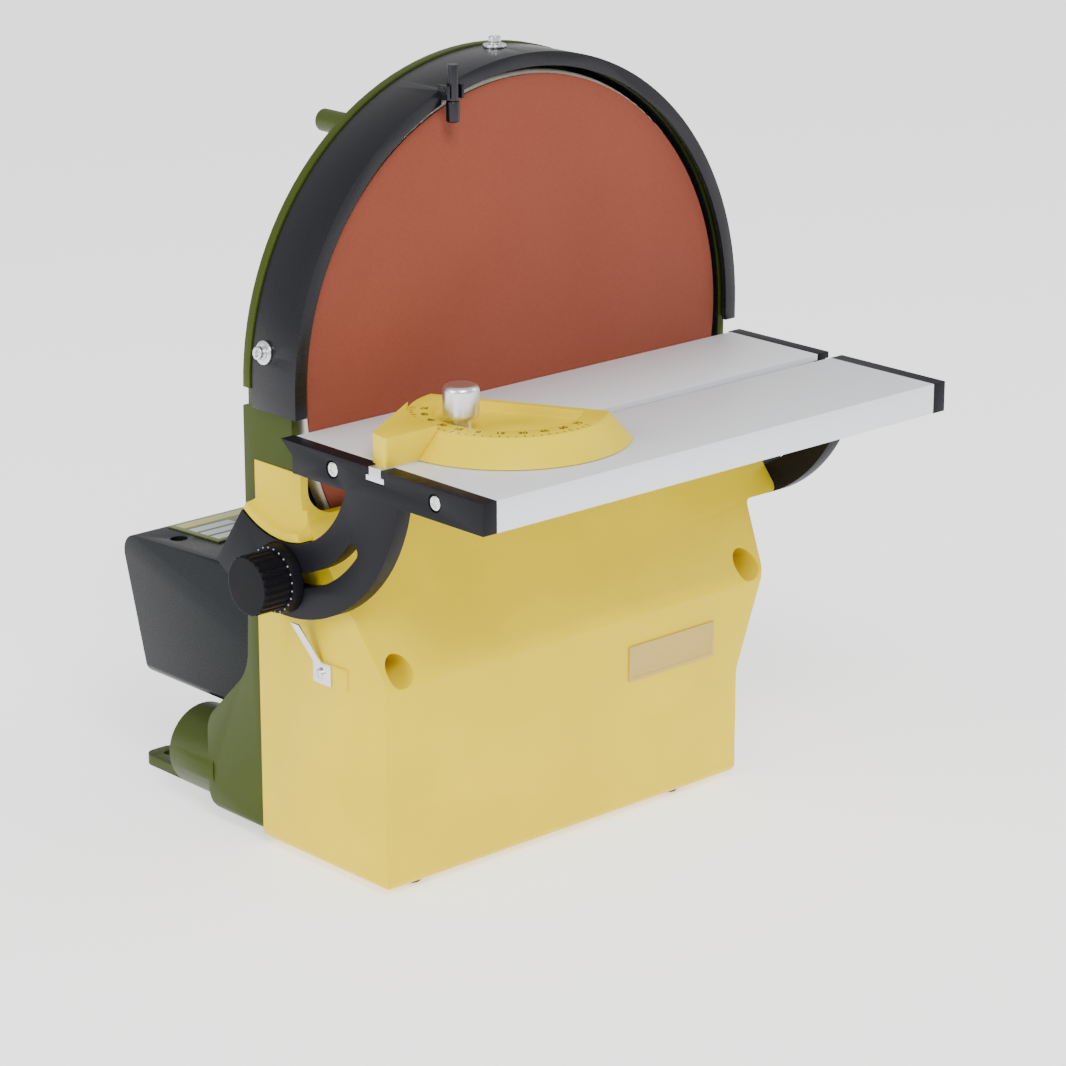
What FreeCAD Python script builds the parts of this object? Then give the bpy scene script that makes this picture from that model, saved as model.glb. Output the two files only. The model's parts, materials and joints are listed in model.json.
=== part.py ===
import FreeCAD, Part
import math
import os

# Benchtop disc sander, in millimetres.
# x runs along the table, y from the operator to the back, z up.
# All sizes are laid out from x = 0 at the disc centre, y = 0 in the plane of the abrasive
# face and z = 0 on the floor. Each finished piece is then moved along y, so that the
# origin ends up under the middle of the whole machine.

V = FreeCAD.Vector
ORIGIN = V(0, 0, 0)
ALONG_X = V(1, 0, 0)
ALONG_Y = V(0, 1, 0)
ALONG_Z = V(0, 0, 1)

# Clearances
touch_gap = 0.1
fit_gap = 0.02
running_gap = 0.05
moving_gap = 0.4

# Disc and spindle
disc_rise = 15.6
sheet_radius = 125.0
sheet_thickness = 1.0
disc_rim = 1.5
disc_thickness = 9.0
disc_rim_round = 2.5
spindle_radius = 6.0
spindle_spigot = 6.0
spindle_flange_radius = 20.0
spindle_flange_thickness = 3.0
disc_screw_count = 3
disc_screw_circle = 14.0
disc_screw_radius = 2.0
disc_screw_depth = 6.0
disc_screw_head = 3.5

# Table
tilt_max = 50.0
tilt_up = 10.0
table_height = 200.0
table_width = 130.0
table_thickness = 14.0
table_gap_to_disc = 3.0
table_skin = 2.5
table_rear_land = 2.0
slot_y = -64.7
slot_opening = 8.4
slot_undercut = 12.4
slot_lip = 3.0
slot_depth = 6.2
screw_channel_ys = (-36.4, -102.8)
screw_channel_drop = 6.5
screw_channel_radius = 4.5
table_screw_radius = 1.8
table_screw_length = 16.0
table_screw_head = 3.2
table_screw_head_height = 2.2

# Table brackets
bracket_thickness = 7.6
bracket_tip_y = -1.6
bracket_heel_y = -9.5
bracket_heel_drop = 6.0
sector_inner = 47.3
sector_outer = 80.8
sector_rear_angle = 35.0
sector_slot_radius = 63.5
screw_recess_radius = 4.0
screw_recess_depth = 3.0

# Clamp knobs and studs
stud_radius = 3.0
stud_boss_radius = 8.0
stud_boss_depth = 11.0
knob_grip_radius = 13.5
knob_skirt_radius = 16.0
knob_skirt_length = 5.0
knob_length = 19.0
knob_flute_count = 24
knob_flute_radius = 1.1
knob_stud_depth = 15.0

# Front housing
housing_margin = 7.0
housing_wall = 4.0
front_face_y = -60.2
front_bottom = 3.0
crease_drop = 100.0
horn_front_y = -4.7
horn_drop = 17.4
joint_y = 27.4
opening_drop = 37.0
neck_inset = 50.5
neck_top = 55.0
shoulder_inset = 33.5
flare_inset = 21.5
ledge_drop = 72.0
edge_round = 4.0
rail_inner = 34.0
rail_depth = 7.5
rail_rim = 4.0
rail_front_angle = 15.0
rail_rear_angle = 35.0
screw_well_radius = 7.0
screw_well_wall = 2.6
screw_well_end_y = 10.0
left_well_inset = 10.5
left_well_rise = 3.0
right_well_inset = 41.5
right_well_rise = 4.0
housing_screw_radius = 2.5
housing_screw_head = 4.6
housing_screw_head_height = 3.6
housing_screw_socket = 2.2
housing_screw_reach = 12.0

# Rear housing
ring_inset = 0.3
ring_wall = 3.9
ring_front_y = 1.0
back_wall_y = 27.5
back_wall = 3.5
flange_overhang = 0.6
flange_thickness = 4.5
column_rear_y = 35.0
column_drop = 9.6
foot_rear_y = 68.0
foot_bottom = 6.0
foot_top = 50.0
foot_slope_end = 81.0
port_inset = 19.5
port_z = 24.6
port_outer = 20.0
port_wall = 3.0
port_rear_y = 97.0
lug_width = 18.0
lug_thickness = 5.0
lug_front_y = 38.0
lug_rear_y = 147.0
lug_hole_y = 138.0
lug_hole_radius = 2.7
left_lug_inset = 29.5
right_lug_inset = 13.0
peg_x = -52.0
peg_rise = 100.9
peg_radius = 5.2
peg_rear_y = 75.0

# Spindle bearings
bearing_outer = 14.0
bearing_width = 8.0
bearing_ball = 2.4
bearing_ball_count = 8
bearing_ring = 2.6
boss_radius = 20.0
boss_rear_y = 56.0
front_bearing_y = 28.5
cap_thickness = 3.0

# Guard
guard_thickness = 2.1
guard_front_y = -4.5
guard_rear_y = 26.0
guard_end_rise = 7.0
guard_lip_reach = 4.3
guard_lip = 2.5
guard_screw_y = 17.0
guard_screw_angles = (0.0, 82.5, -82.5)
guard_screw_radius = 1.9
guard_washer_radius = 5.3
guard_washer_thickness = 1.4
guard_head_radius = 2.9
guard_head_height = 3.4
guard_socket_radius = 1.4
guard_socket_depth = 1.9

# Brake lever on the guard
brake_x = -47.0
brake_y = -8.0
brake_pivot_stand = 0.62
brake_below_pivot = 14.4
brake_above_pivot = 11.0
brake_rod_radius = 2.5
brake_tip_radius = 3.0
brake_tip_length = 9.6
brake_pin_radius = 1.0
brake_pin_overhang = 0.4
brake_ear_thickness = 1.4
brake_ear_gap = 0.5
brake_ear_reach = 2.1

# Belt drive
motor_x = -30.0
motor_z = 86.0
pulley_front_y = 16.0
pulley_width = 10.0
large_pulley_radius = 72.0
small_pulley_radius = 12.0
pulley_hub_radius = 12.0
pulley_web = 4.0
pulley_rim = 6.0
pulley_window_count = 6
pulley_window_radius = 14.0
groove_count = 3
groove_pitch = 2.4
groove_depth = 1.6
groove_mouth = 1.0
groove_floor = 0.35
belt_gap = 0.4
belt_back = 1.8
belt_edge = 1.6

# Motor
motor_radius = 27.0
motor_length = 98.0
motor_end_boss = 9.0
motor_end_boss_length = 4.0
motor_vent_count = 8
motor_vent_width = 5.0
motor_vent_length = 12.0
motor_vent_inset = 6.0
motor_collar_wall = 3.5
motor_shaft_radius = 4.0
motor_shaft_inside = 40.0
motor_spigot_radius = 11.0
motor_screw_spacing = 36.0
motor_screw_radius = 1.9
motor_screw_head = 3.2
motor_screw_head_height = 1.8
motor_screw_depth = 8.0
saddle_y = 112.0
saddle_width = 12.0
saddle_wall = 3.5
saddle_bar_z = 96.0
saddle_bar_height = 6.0
saddle_post_radius = 4.5

# Motor cover
cover_left_inset = 13.5
cover_right_inset = 18.0
cover_bottom = 52.0
cover_front_top = 123.0
cover_rear_top = 118.0
cover_rear_y = 149.5
cover_rear_bottom_y = 131.0
cover_wall = 2.5
cover_round = 9.0
cover_screw_inset = 11.0
cover_screw_radius = 1.8
cover_screw_head = 3.2
cover_screw_head_height = 2.2
cover_screw_well = 4.2
cover_well_wall = 1.5
cover_well_depth = 5.0

# Labels
name_plate_left = 12.0
name_plate_right = 67.0
name_plate_bottom = 66.0
name_plate_top = 83.0
plate_thickness = 0.8
label_left = -101.0
label_right = -14.0
label_front_y = 98.0
label_rear_y = 137.0

# Angle pointer
pointer_y = -19.3
pointer_drop = 104.6
pointer_plate_width = 12.0
pointer_plate_height = 10.0
pointer_thickness = 1.0
pointer_strip_width = 5.5
pointer_tip_y = -8.2
pointer_tip_drop = 83.0
pointer_tip_stand = 6.0
pointer_pad = 1.0
pointer_pad_reach = 10.0
pointer_screw_radius = 1.5
pointer_screw_head = 2.8
pointer_screw_crown = 1.6
pointer_screw_head_height = 1.8

# Switch, dial, board and cable gland
switch_y = -36.0
switch_z = 29.0
switch_width = 20.0
switch_height = 28.0
switch_flange = 2.0
switch_depth = 20.0
bezel_wall = 2.2
rocker_round = 14.0
rocker_dish = 26.0
rocker_stand = 1.5
rocker_depth = 5.0
rocker_pivot_inset = 4.0
rocker_pin_radius = 1.5
rocker_tilt = 7.0
dial_y = 4.0
dial_radius = 11.0
dial_height = 11.0
dial_stem_radius = 3.0
dial_ridge_count = 20
dial_ridge_radius = 0.9
pot_size = 18.0
pot_depth = 9.0
board_left = -20.0
board_right = 50.0
board_front_y = -48.0
board_rear_y = 8.0
board_thickness = 1.6
board_heat_sink = (6.0, 22.0, 8.0, 24.0)
board_capacitors = ((36.0, 16.0, 8.0, 22.0), (36.0, 36.0, 6.0, 16.0))
board_terminal = (16.0, 6.0, 12.0, 10.0)
standoff_height = 6.0
standoff_radius = 3.5
gland_inset = 25.0
gland_z = 28.0
gland_radius = 8.0
gland_bore = 3.6
gland_length = 15.0
gland_nut_length = 5.0
gland_stem = 6.0

# Mitre gauge
bar_length = 130.0
mitre_pivot_x = -66.1
mitre_swivel = 27.8
swivel_limit = 60.0
head_height = 11.0
head_bottom_radius = 54.5
head_top_radius = 43.5
fence_offset = 14.0
fence_wall = 4.5
recess_radius = 32.5
recess_depth = 4.0
clamp_radius = 27.0
mitre_stud_radius = 2.5
mitre_pin_radius = 3.0
nose_left = -139.0
nose_front_y = -68.5
nose_rear_y = -57.4
nose_height = 13.5
nose_tangent_angle = 122.0
thumb_radius = 8.0
thumb_neck_radius = 4.6
thumb_washer_radius = 5.0
thumb_washer_thickness = 1.2
thumb_neck_length = 4.0
thumb_head_length = 15.0
thumb_round = 2.5
thumb_stud_depth = 8.0

# Feet
left_foot_inset = 22.5
right_foot_inset = 34.0
foot_y = -50.0
foot_radius = 4.5
foot_stem_radius = 2.5

# Places worked out from the sizes above
disc_height = table_height + disc_rise
disc_radius = sheet_radius + disc_rim
housing_half_width = disc_radius + housing_margin
housing_inner_half = housing_half_width - housing_wall
neck_x = housing_half_width - neck_inset
shoulder_x = housing_half_width - shoulder_inset
flare_x = housing_half_width - flare_inset
crease_height = table_height - crease_drop
horn_top = table_height - horn_drop
opening_bottom = table_height - opening_drop
ledge_height = table_height - ledge_drop
left_well = (left_well_inset - housing_half_width, crease_height + left_well_rise)
right_well = (housing_half_width - right_well_inset, crease_height + right_well_rise)
foot_xs = (left_foot_inset - housing_half_width, neck_x - right_foot_inset)
table_half = housing_half_width + moving_gap
screw_channel_z = table_height - screw_channel_drop
table_front_y = -table_gap_to_disc - table_width
table_bottom = table_height - table_thickness
bracket_inner = table_half
bracket_outer = table_half + bracket_thickness
stud_z = table_height - sector_slot_radius
slot_floor = table_height - slot_depth
lip_bottom = table_height - slot_lip
disc_front_y = sheet_thickness
disc_rear_y = disc_front_y + disc_thickness
ring_outer = housing_half_width - ring_inset
ring_inner = ring_outer - ring_wall
column_top = disc_height - column_drop
port_x = port_inset - housing_half_width
lug_xs = (left_lug_inset - housing_half_width, neck_x - right_lug_inset)
peg_z = disc_height + peg_rise
gland_x = neck_x - gland_inset
rocker_x = neck_x - rocker_pivot_inset
cover_left = cover_left_inset - housing_half_width
cover_right = neck_x - cover_right_inset
guard_inner = ring_outer + touch_gap
guard_outer = guard_inner + guard_thickness
guard_lip_inner = guard_inner - guard_lip_reach
guard_end_height = table_height + guard_end_rise
flange_radius = guard_outer + flange_overhang
brake_pivot_z = disc_height + math.sqrt((guard_inner + brake_pivot_stand) ** 2 - brake_x ** 2)
brake_bottom_z = brake_pivot_z - brake_below_pivot
brake_top_z = brake_pivot_z + brake_above_pivot
pointer_z = table_height - pointer_drop
pointer_tip_z = table_height - pointer_tip_drop
wall_rear_y = back_wall_y + back_wall
motor_face_y = wall_rear_y
rear_bearing_y = boss_rear_y - bearing_width - running_gap
belt_y = pulley_front_y + pulley_width / 2
mitre_pivot = V(mitre_pivot_x, slot_y, 0)
head_bottom = table_height + moving_gap
head_top = head_bottom + head_height
recess_floor = head_top - recess_depth
clamp_x = mitre_pivot_x - clamp_radius
bar_left = -bracket_outer
middle_y = (table_front_y + lug_rear_y) / 2


# Simple solids
def box(x0, x1, y0, y1, z0, z1):
    return Part.makeBox(x1 - x0, y1 - y0, z1 - z0, V(x0, y0, z0))


def rod_x(y, z, radius, x0, x1):
    return Part.makeCylinder(radius, x1 - x0, V(x0, y, z), ALONG_X)


def rod_y(x, z, radius, y0, y1):
    return Part.makeCylinder(radius, y1 - y0, V(x, y0, z), ALONG_Y)


def rod_z(x, y, radius, z0, z1):
    return Part.makeCylinder(radius, z1 - z0, V(x, y, z0), ALONG_Z)


def tube_y(x, z, outer, inner, y0, y1):
    return rod_y(x, z, outer, y0, y1).cut(rod_y(x, z, inner, y0, y1))


def joined(shapes):
    whole = shapes[0]
    for shape in shapes[1:]:
        whole = whole.fuse(shape)
    return whole.removeSplitter()


def without(shape, cutters):
    for cutter in cutters:
        shape = shape.cut(cutter)
    return shape


def mirrored(shape):
    return shape.mirror(ORIGIN, ALONG_X)


def turned(shape, angle, axis, centre=ORIGIN):
    copy = shape.copy()
    copy.rotate(centre, axis, angle)
    return copy


# Outlines: each corner is (a, b, rounding)
def on_side(a, b):
    return V(0, a, b)


def on_front(a, b):
    return V(a, 0, b)


def on_top(a, b):
    return V(a, b, 0)


def rounded_face(corners, place):
    stations = []
    for i in range(len(corners)):
        corner = V(corners[i][0], corners[i][1], 0)
        radius = corners[i][2]
        before = corners[i - 1]
        after = corners[(i + 1) % len(corners)]
        back = (V(before[0], before[1], 0) - corner).normalize()
        ahead = (V(after[0], after[1], 0) - corner).normalize()
        if radius == 0:
            stations.append((corner, None, corner))
            continue
        half = back.getAngle(ahead) / 2
        reach = radius / math.tan(half)
        inward = (back + ahead).normalize()
        middle = corner + inward * (radius / math.sin(half) - radius)
        stations.append((corner + back * reach, middle, corner + ahead * reach))
    edges = []
    for i in range(len(stations)):
        start, middle, end = [p and place(p.x, p.y) for p in stations[i]]
        if middle:
            edges.append(Part.Arc(start, middle, end).toShape())
        following = stations[(i + 1) % len(stations)][0]
        following = place(following.x, following.y)
        if end.distanceToPoint(following) > 1e-6:
            edges.append(Part.LineSegment(end, following).toShape())
    return Part.Face(Part.Wire(edges))


def prism_x(face, x0, x1):
    return face.translated(V(x0, 0, 0)).extrude(V(x1 - x0, 0, 0))


def prism_y(face, y0, y1):
    return face.translated(V(0, y0, 0)).extrude(V(0, y1 - y0, 0))


def prism_z(face, z0, z1):
    return face.translated(V(0, 0, z0)).extrude(V(0, 0, z1 - z0))


def sharp(points):
    return [(a, b, 0) for a, b in points]


def polar(radius, degrees):
    angle = math.radians(degrees)
    return radius * math.cos(angle), radius * math.sin(angle)


# A point on the tilt circle: angle 0 is straight down, positive to the front
def tilt_point(radius, degrees):
    angle = math.radians(degrees)
    return -radius * math.sin(angle), table_height - radius * math.cos(angle)


def save(name, shape):
    shape = shape.translated(V(0, -middle_y, 0))
    shape.exportStep("parts/" + name + ".step")


def group(solids):
    return Part.makeCompound(solids)


# Front housing

def front_outline(half_width, bottom, top):
    return rounded_face([
        (-half_width, bottom, edge_round),
        (neck_x, bottom, edge_round),
        (neck_x, neck_top, 3 * edge_round),
        (shoulder_x, crease_height, 3 * edge_round),
        (flare_x, ledge_height, edge_round),
        (half_width, ledge_height, edge_round),
        (half_width, top, 0),
        (-half_width, top, 0),
    ], on_front)


def front_profile(rear_y):
    lean = math.tan(math.radians(tilt_max))
    horn_root = crease_height + (horn_front_y - front_face_y) * lean
    return rounded_face([
        (rear_y, front_bottom, 0),
        (front_face_y, front_bottom, edge_round),
        (front_face_y, crease_height, 3 * edge_round),
        (horn_front_y, horn_root, 4 * edge_round),
        (horn_front_y, horn_top, 0),
        (rear_y, horn_top, 0),
    ], on_side)


def tilt_rail():
    flare = rail_depth
    rim_start = sector_inner - moving_gap - rail_rim
    section = rounded_face([
        (rail_inner, housing_half_width - touch_gap, 0),
        (rail_inner, housing_half_width, 0),
        (rim_start - 1.5, housing_half_width + 1.2, 6.0),
        (rim_start, housing_half_width + flare, 0),
        (rim_start + rail_rim, housing_half_width + flare, 0.8),
        (rim_start + rail_rim, housing_half_width - touch_gap, 0),
    ], lambda radius, x: V(x, 0, table_height - radius))
    sweep = rail_rear_angle + rail_front_angle
    pivot = V(0, 0, table_height)
    rail = section.revolve(pivot, ALONG_X, sweep)
    return turned(rail, -rail_front_angle, ALONG_X, pivot)


def screw_well(x, z):
    return rod_y(x, z, screw_well_radius + screw_well_wall, front_face_y, joint_y)


def well_hole(x, z):
    wide = rod_y(x, z, screw_well_radius, front_face_y - 5, screw_well_end_y)
    narrow = rod_y(x, z, housing_screw_radius + fit_gap, screw_well_end_y, joint_y + 1)
    return wide.fuse(narrow)


def stud_boss(side):
    start = housing_inner_half - stud_boss_depth
    boss = rod_x(0, stud_z, stud_boss_radius, start, housing_half_width - 1)
    return boss if side > 0 else mirrored(boss)


def stud_hole(side):
    hole = rod_x(0, stud_z, stud_radius + fit_gap, housing_half_width - 20, housing_half_width + 1)
    return hole if side > 0 else mirrored(hole)


def front_housing():
    span = (front_face_y - 10, joint_y)
    outer = prism_y(front_outline(housing_half_width, front_bottom, horn_top), *span)
    outer = outer.common(prism_x(front_profile(joint_y), -housing_half_width, housing_half_width))
    hollow_front = front_outline(housing_half_width, front_bottom, horn_top + 2 * housing_wall)
    hollow = prism_y(hollow_front.makeOffset2D(-housing_wall), span[0], joint_y + 1)
    profile = front_profile(joint_y + 2 * housing_wall).makeOffset2D(-housing_wall)
    hollow = hollow.common(prism_x(profile, -housing_half_width, housing_half_width))
    shell = outer.cut(hollow)
    opening = rounded_face([
        (-housing_inner_half, opening_bottom, 3 * edge_round),
        (housing_inner_half, opening_bottom, 3 * edge_round),
        (housing_inner_half, horn_top + 5, 0),
        (-housing_inner_half, horn_top + 5, 0),
    ], on_front)
    shell = shell.cut(prism_y(opening, front_face_y, joint_y + 1))
    additions = [screw_well(*left_well).common(outer), screw_well(*right_well).common(outer)]
    additions += [stud_boss(1), stud_boss(-1), tilt_rail(), mirrored(tilt_rail())]
    additions += [pointer_base()]
    additions += [standoff(x, y) for x, y in standoff_places()]
    shell = joined([shell] + additions)
    holes = [well_hole(*left_well), well_hole(*right_well), stud_hole(1), stud_hole(-1)]
    holes += [foot_hole(x) for x in foot_xs]
    holes += [switch_opening(), dial_hole(), pointer_hole()]
    return without(shell, holes)


def pointer_base():
    half_width = pointer_plate_width / 2
    half_height = pointer_plate_height / 2
    return box(-housing_half_width - pointer_pad, -housing_half_width + 1,
               pointer_y - half_width - pointer_pad_reach, pointer_y + half_width,
               pointer_z - half_height, pointer_z + half_height)


def pointer_hole():
    depth = -housing_half_width + 10
    return rod_x(pointer_y, pointer_z, pointer_screw_radius + fit_gap, -housing_half_width - 5, depth)


def standoff_places():
    inset = 2 * standoff_radius
    xs = (board_left + inset, board_right - inset)
    ys = (board_front_y + inset, board_rear_y - inset)
    return [(x, y) for x in xs for y in ys]


def standoff(x, y):
    floor = front_bottom + housing_wall
    return rod_z(x, y, standoff_radius, floor - 1, floor + standoff_height)


# Front feet

def foot_hole(x):
    return rod_z(x, foot_y, foot_stem_radius + fit_gap, front_bottom - 1, front_bottom + housing_wall + 1)


def front_feet():
    feet = []
    for x in foot_xs:
        pad = Part.makeCone(foot_radius - 0.8, foot_radius, front_bottom, V(x, foot_y, 0), ALONG_Z)
        stem = rod_z(x, foot_y, foot_stem_radius, front_bottom, front_bottom + housing_wall + 1)
        feet.append(pad.fuse(stem))
    return group(feet)


# Rear housing

def rear_profile(front_y, top):
    return rounded_face([
        (front_y, foot_bottom, 0),
        (foot_rear_y, foot_bottom, 2.5 * edge_round),
        (foot_rear_y, foot_top, 4 * edge_round),
        (column_rear_y + 1.5, foot_slope_end, 6 * edge_round),
        (column_rear_y, foot_slope_end + 35, 0),
        (column_rear_y, top, 0),
        (front_y, top, 0),
    ], on_side)


def rear_block():
    outline = front_outline(ring_outer, foot_bottom, column_top)
    block = prism_y(outline, joint_y, foot_rear_y + 1)
    return block.common(prism_x(rear_profile(joint_y, column_top), -ring_outer, ring_outer))


def rear_hollow():
    outline = front_outline(ring_outer, foot_bottom, column_top + 2 * housing_wall)
    hollow = prism_y(outline.makeOffset2D(-housing_wall), joint_y - 1, foot_rear_y)
    profile = rear_profile(joint_y - 2 * housing_wall, column_top + 2 * housing_wall)
    profile = profile.makeOffset2D(-housing_wall)
    return hollow.common(prism_x(profile, -ring_outer, ring_outer))


def upper_half(shape):
    reach = 2 * flange_radius
    keep = box(-reach, reach, -reach, reach, disc_height, disc_height + reach)
    return shape.common(keep)


def ring_pieces():
    horn_gap_top = horn_top + touch_gap
    ring = upper_half(tube_y(0, disc_height, ring_outer, ring_inner, ring_front_y, back_wall_y))
    flange_front = wall_rear_y - flange_thickness
    flange = upper_half(tube_y(0, disc_height, flange_radius, ring_inner, flange_front, wall_rear_y))
    wall = upper_half(rod_y(0, disc_height, ring_outer, back_wall_y, wall_rear_y))
    low_wall = box(-ring_outer, ring_outer, back_wall_y, wall_rear_y, column_top - 1, disc_height)
    left = box(-ring_outer, -ring_inner, ring_front_y, wall_rear_y, horn_gap_top, disc_height)
    return [ring, flange, wall, low_wall, left, mirrored(left)]


def motor_collar():
    radius = motor_radius + moving_gap + motor_collar_wall
    return rod_y(motor_x, motor_z, radius, back_wall_y, foot_rear_y).common(rear_block())


def bench_lug(x):
    x0 = x - lug_width / 2
    x1 = x + lug_width / 2
    arm = box(x0, x1, lug_front_y, lug_rear_y, 0, lug_thickness)
    riser = box(x0, x1, lug_front_y, foot_rear_y - 3 * edge_round, 0, foot_bottom + 1)
    rounded = arm.makeFillet(lug_width / 3, [e for e in arm.Edges if upright_rear(e)])
    return rounded.fuse(riser)


def upright_rear(edge):
    ends = edge.Vertexes
    level = abs(ends[0].X - ends[1].X) + abs(ends[0].Y - ends[1].Y)
    return level < 1e-6 and abs(ends[0].Y - lug_rear_y) < 1e-6


def bearing_boss_holes():
    middle = rod_y(0, disc_height, bearing_outer - 3, back_wall_y - 1, boss_rear_y + 1)
    front = rod_y(0, disc_height, bearing_outer + fit_gap, back_wall_y - 1, front_bearing_y + bearing_width)
    rear = rod_y(0, disc_height, bearing_outer + fit_gap, rear_bearing_y, boss_rear_y + 1)
    return [middle, front, rear]


def motor_screw_xs():
    return [motor_x - motor_screw_spacing / 2, motor_x + motor_screw_spacing / 2]


def rear_housing():
    shell = rear_block().cut(rear_hollow())
    solids = [shell] + ring_pieces() + [motor_collar()]
    solids.append(rod_y(0, disc_height, boss_radius, back_wall_y, boss_rear_y))
    solids.append(rod_y(peg_x, peg_z, peg_radius, back_wall_y, peg_rear_y))
    solids.append(rod_y(port_x, port_z, port_outer, foot_rear_y - housing_wall, port_rear_y))
    solids += [bench_lug(x) for x in lug_xs]
    pilot = housing_screw_radius + screw_well_wall
    for x, z in (left_well, right_well):
        boss = rod_y(x, z, pilot, joint_y, joint_y + housing_screw_reach)
        solids.append(boss.common(rear_block()))
    whole = joined(solids)
    holes = bearing_boss_holes()
    holes.append(rod_y(motor_x, motor_z, motor_radius + fit_gap, motor_face_y, foot_rear_y + 20))
    holes.append(rod_y(motor_x, motor_z, motor_spigot_radius, back_wall_y - 1, motor_face_y + 1))
    holes += [rod_y(x, motor_z, motor_screw_radius + fit_gap, back_wall_y - 1, motor_face_y + 1)
              for x in motor_screw_xs()]
    holes.append(rod_y(port_x, port_z, port_outer - port_wall, foot_rear_y - 12, port_rear_y + 1))
    holes += [rod_z(x, lug_hole_y, lug_hole_radius, -1, lug_thickness + 1) for x in lug_xs]
    for x, z in (left_well, right_well):
        reach = joint_y + housing_screw_reach - 2
        holes.append(rod_y(x, z, housing_screw_radius + fit_gap, joint_y - 1, reach))
    holes.append(rod_y(gland_x, gland_z, gland_stem + fit_gap, foot_rear_y - 10, foot_rear_y + 1))
    holes += [guard_screw_shank(angle, fit_gap) for angle in guard_screw_angles]
    return without(whole, holes)


# Housing screws

def housing_screws():
    screws = []
    head_front = screw_well_end_y - housing_screw_head_height
    for x, z in (left_well, right_well):
        head = rod_y(x, z, housing_screw_head, head_front, screw_well_end_y)
        drive = rod_y(x, z, housing_screw_socket, head_front - 1, screw_well_end_y - 2)
        shank = rod_y(x, z, housing_screw_radius, screw_well_end_y, joint_y + housing_screw_reach - 3)
        screws.append(head.cut(drive).fuse(shank))
    return group(screws)


# Disc guard with its lip and the ears of the brake lever

def brake_ear(side):
    inner = brake_x + side * (brake_tip_radius + brake_ear_gap)
    outer = inner + side * brake_ear_thickness
    x0, x1 = sorted((inner, outer))
    drop = brake_pivot_z - brake_ear_reach - 2
    return box(x0, x1, brake_y - brake_ear_reach, guard_front_y + 1, drop, brake_pivot_z + brake_ear_reach)


def brake_pin_shape(extra):
    reach = brake_tip_radius + brake_ear_gap + brake_ear_thickness + brake_pin_overhang
    return rod_x(brake_y, brake_pivot_z, brake_pin_radius + extra, brake_x - reach, brake_x + reach)


def guard_band(y0, y1, inner, outer):
    band = tube_y(0, disc_height, outer, inner, y0, y1)
    top = upper_half(band)
    tail = box(inner, outer, y0, y1, guard_end_height, disc_height)
    return joined([top, tail, mirrored(tail)])


def disc_guard():
    band = guard_band(guard_front_y, guard_rear_y, guard_inner, guard_outer)
    lip = guard_band(guard_front_y, guard_front_y + guard_lip, guard_lip_inner, guard_outer)
    notch = brake_tip_radius + brake_ear_gap
    gap = box(brake_x - notch, brake_x + notch, guard_front_y - 1, guard_front_y + guard_lip,
              brake_bottom_z, brake_pivot_z + brake_ear_reach)
    solids = [band, lip.cut(gap), brake_ear(1), brake_ear(-1)]
    whole = joined(solids)
    holes = [brake_pin_shape(fit_gap)]
    holes += [guard_screw_shank(angle, fit_gap) for angle in guard_screw_angles]
    return without(whole, holes)


# A guard screw stands along z at the top of the ring and is turned to its place
def at_guard(shape, angle):
    return turned(shape, angle, ALONG_Y, V(0, 0, disc_height))


def guard_screw_shank(angle, extra):
    shank = rod_z(0, guard_screw_y, guard_screw_radius + extra,
                  disc_height + ring_inner + 0.5, disc_height + guard_outer + 1)
    return at_guard(shank, angle)


def guard_screws():
    screws = []
    seat = disc_height + guard_outer + guard_washer_thickness
    for angle in guard_screw_angles:
        shank = rod_z(0, guard_screw_y, guard_screw_radius, disc_height + ring_inner + 0.6, seat)
        head = rod_z(0, guard_screw_y, guard_head_radius, seat, seat + guard_head_height)
        socket_floor = seat + guard_head_height - guard_socket_depth
        socket = rod_z(0, guard_screw_y, guard_socket_radius, socket_floor, seat + guard_head_height + 1)
        screws.append(at_guard(head.cut(socket).fuse(shank), angle))
    return group(screws)


def guard_washers():
    washers = []
    for angle in guard_screw_angles:
        disc = rod_z(0, guard_screw_y, guard_washer_radius,
                     disc_height + guard_outer - 0.3, disc_height + guard_outer + guard_washer_thickness)
        disc = disc.cut(rod_y(0, disc_height, guard_outer, guard_front_y, wall_rear_y + 5))
        hole_top = disc_height + guard_outer + 5
        hole = rod_z(0, guard_screw_y, guard_screw_radius + fit_gap, disc_height, hole_top)
        washers.append(at_guard(disc.cut(hole), angle))
    return group(washers)


# Brake lever

def brake_lever():
    rod = rod_z(brake_x, brake_y, brake_rod_radius, brake_bottom_z + brake_tip_length, brake_top_z)
    tip = rod_z(brake_x, brake_y, brake_tip_radius, brake_bottom_z, brake_bottom_z + brake_tip_length)
    tip = tip.makeFillet(brake_tip_radius / 3, [tip.Edges[0], tip.Edges[2]])
    return rod.fuse(tip).cut(brake_pin_shape(running_gap))


# Disc, sheet and spindle

def abrasive_sheet():
    return rod_y(0, disc_height, sheet_radius, 0, sheet_thickness)


def round_edges(edges, radius):
    return [e for e in edges if e.Curve.TypeId == "Part::GeomCircle" and abs(e.Curve.Radius - radius) < 1e-6]


def disc_screw_places():
    places = []
    for i in range(disc_screw_count):
        x, z = polar(disc_screw_circle, 90 + 360 * i / disc_screw_count)
        places.append((x, disc_height + z))
    return places


def disc_plate():
    plate = rod_y(0, disc_height, disc_radius, disc_front_y, disc_rear_y)
    plate = plate.makeFillet(disc_rim_round, round_edges(plate.Edges, disc_radius))
    bore = rod_y(0, disc_height, spindle_radius + fit_gap, disc_rear_y - spindle_spigot, disc_rear_y + 1)
    holes = [rod_y(x, z, disc_screw_radius + fit_gap, disc_rear_y - disc_screw_depth, disc_rear_y + 1)
             for x, z in disc_screw_places()]
    return without(plate, [bore] + holes)


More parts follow.
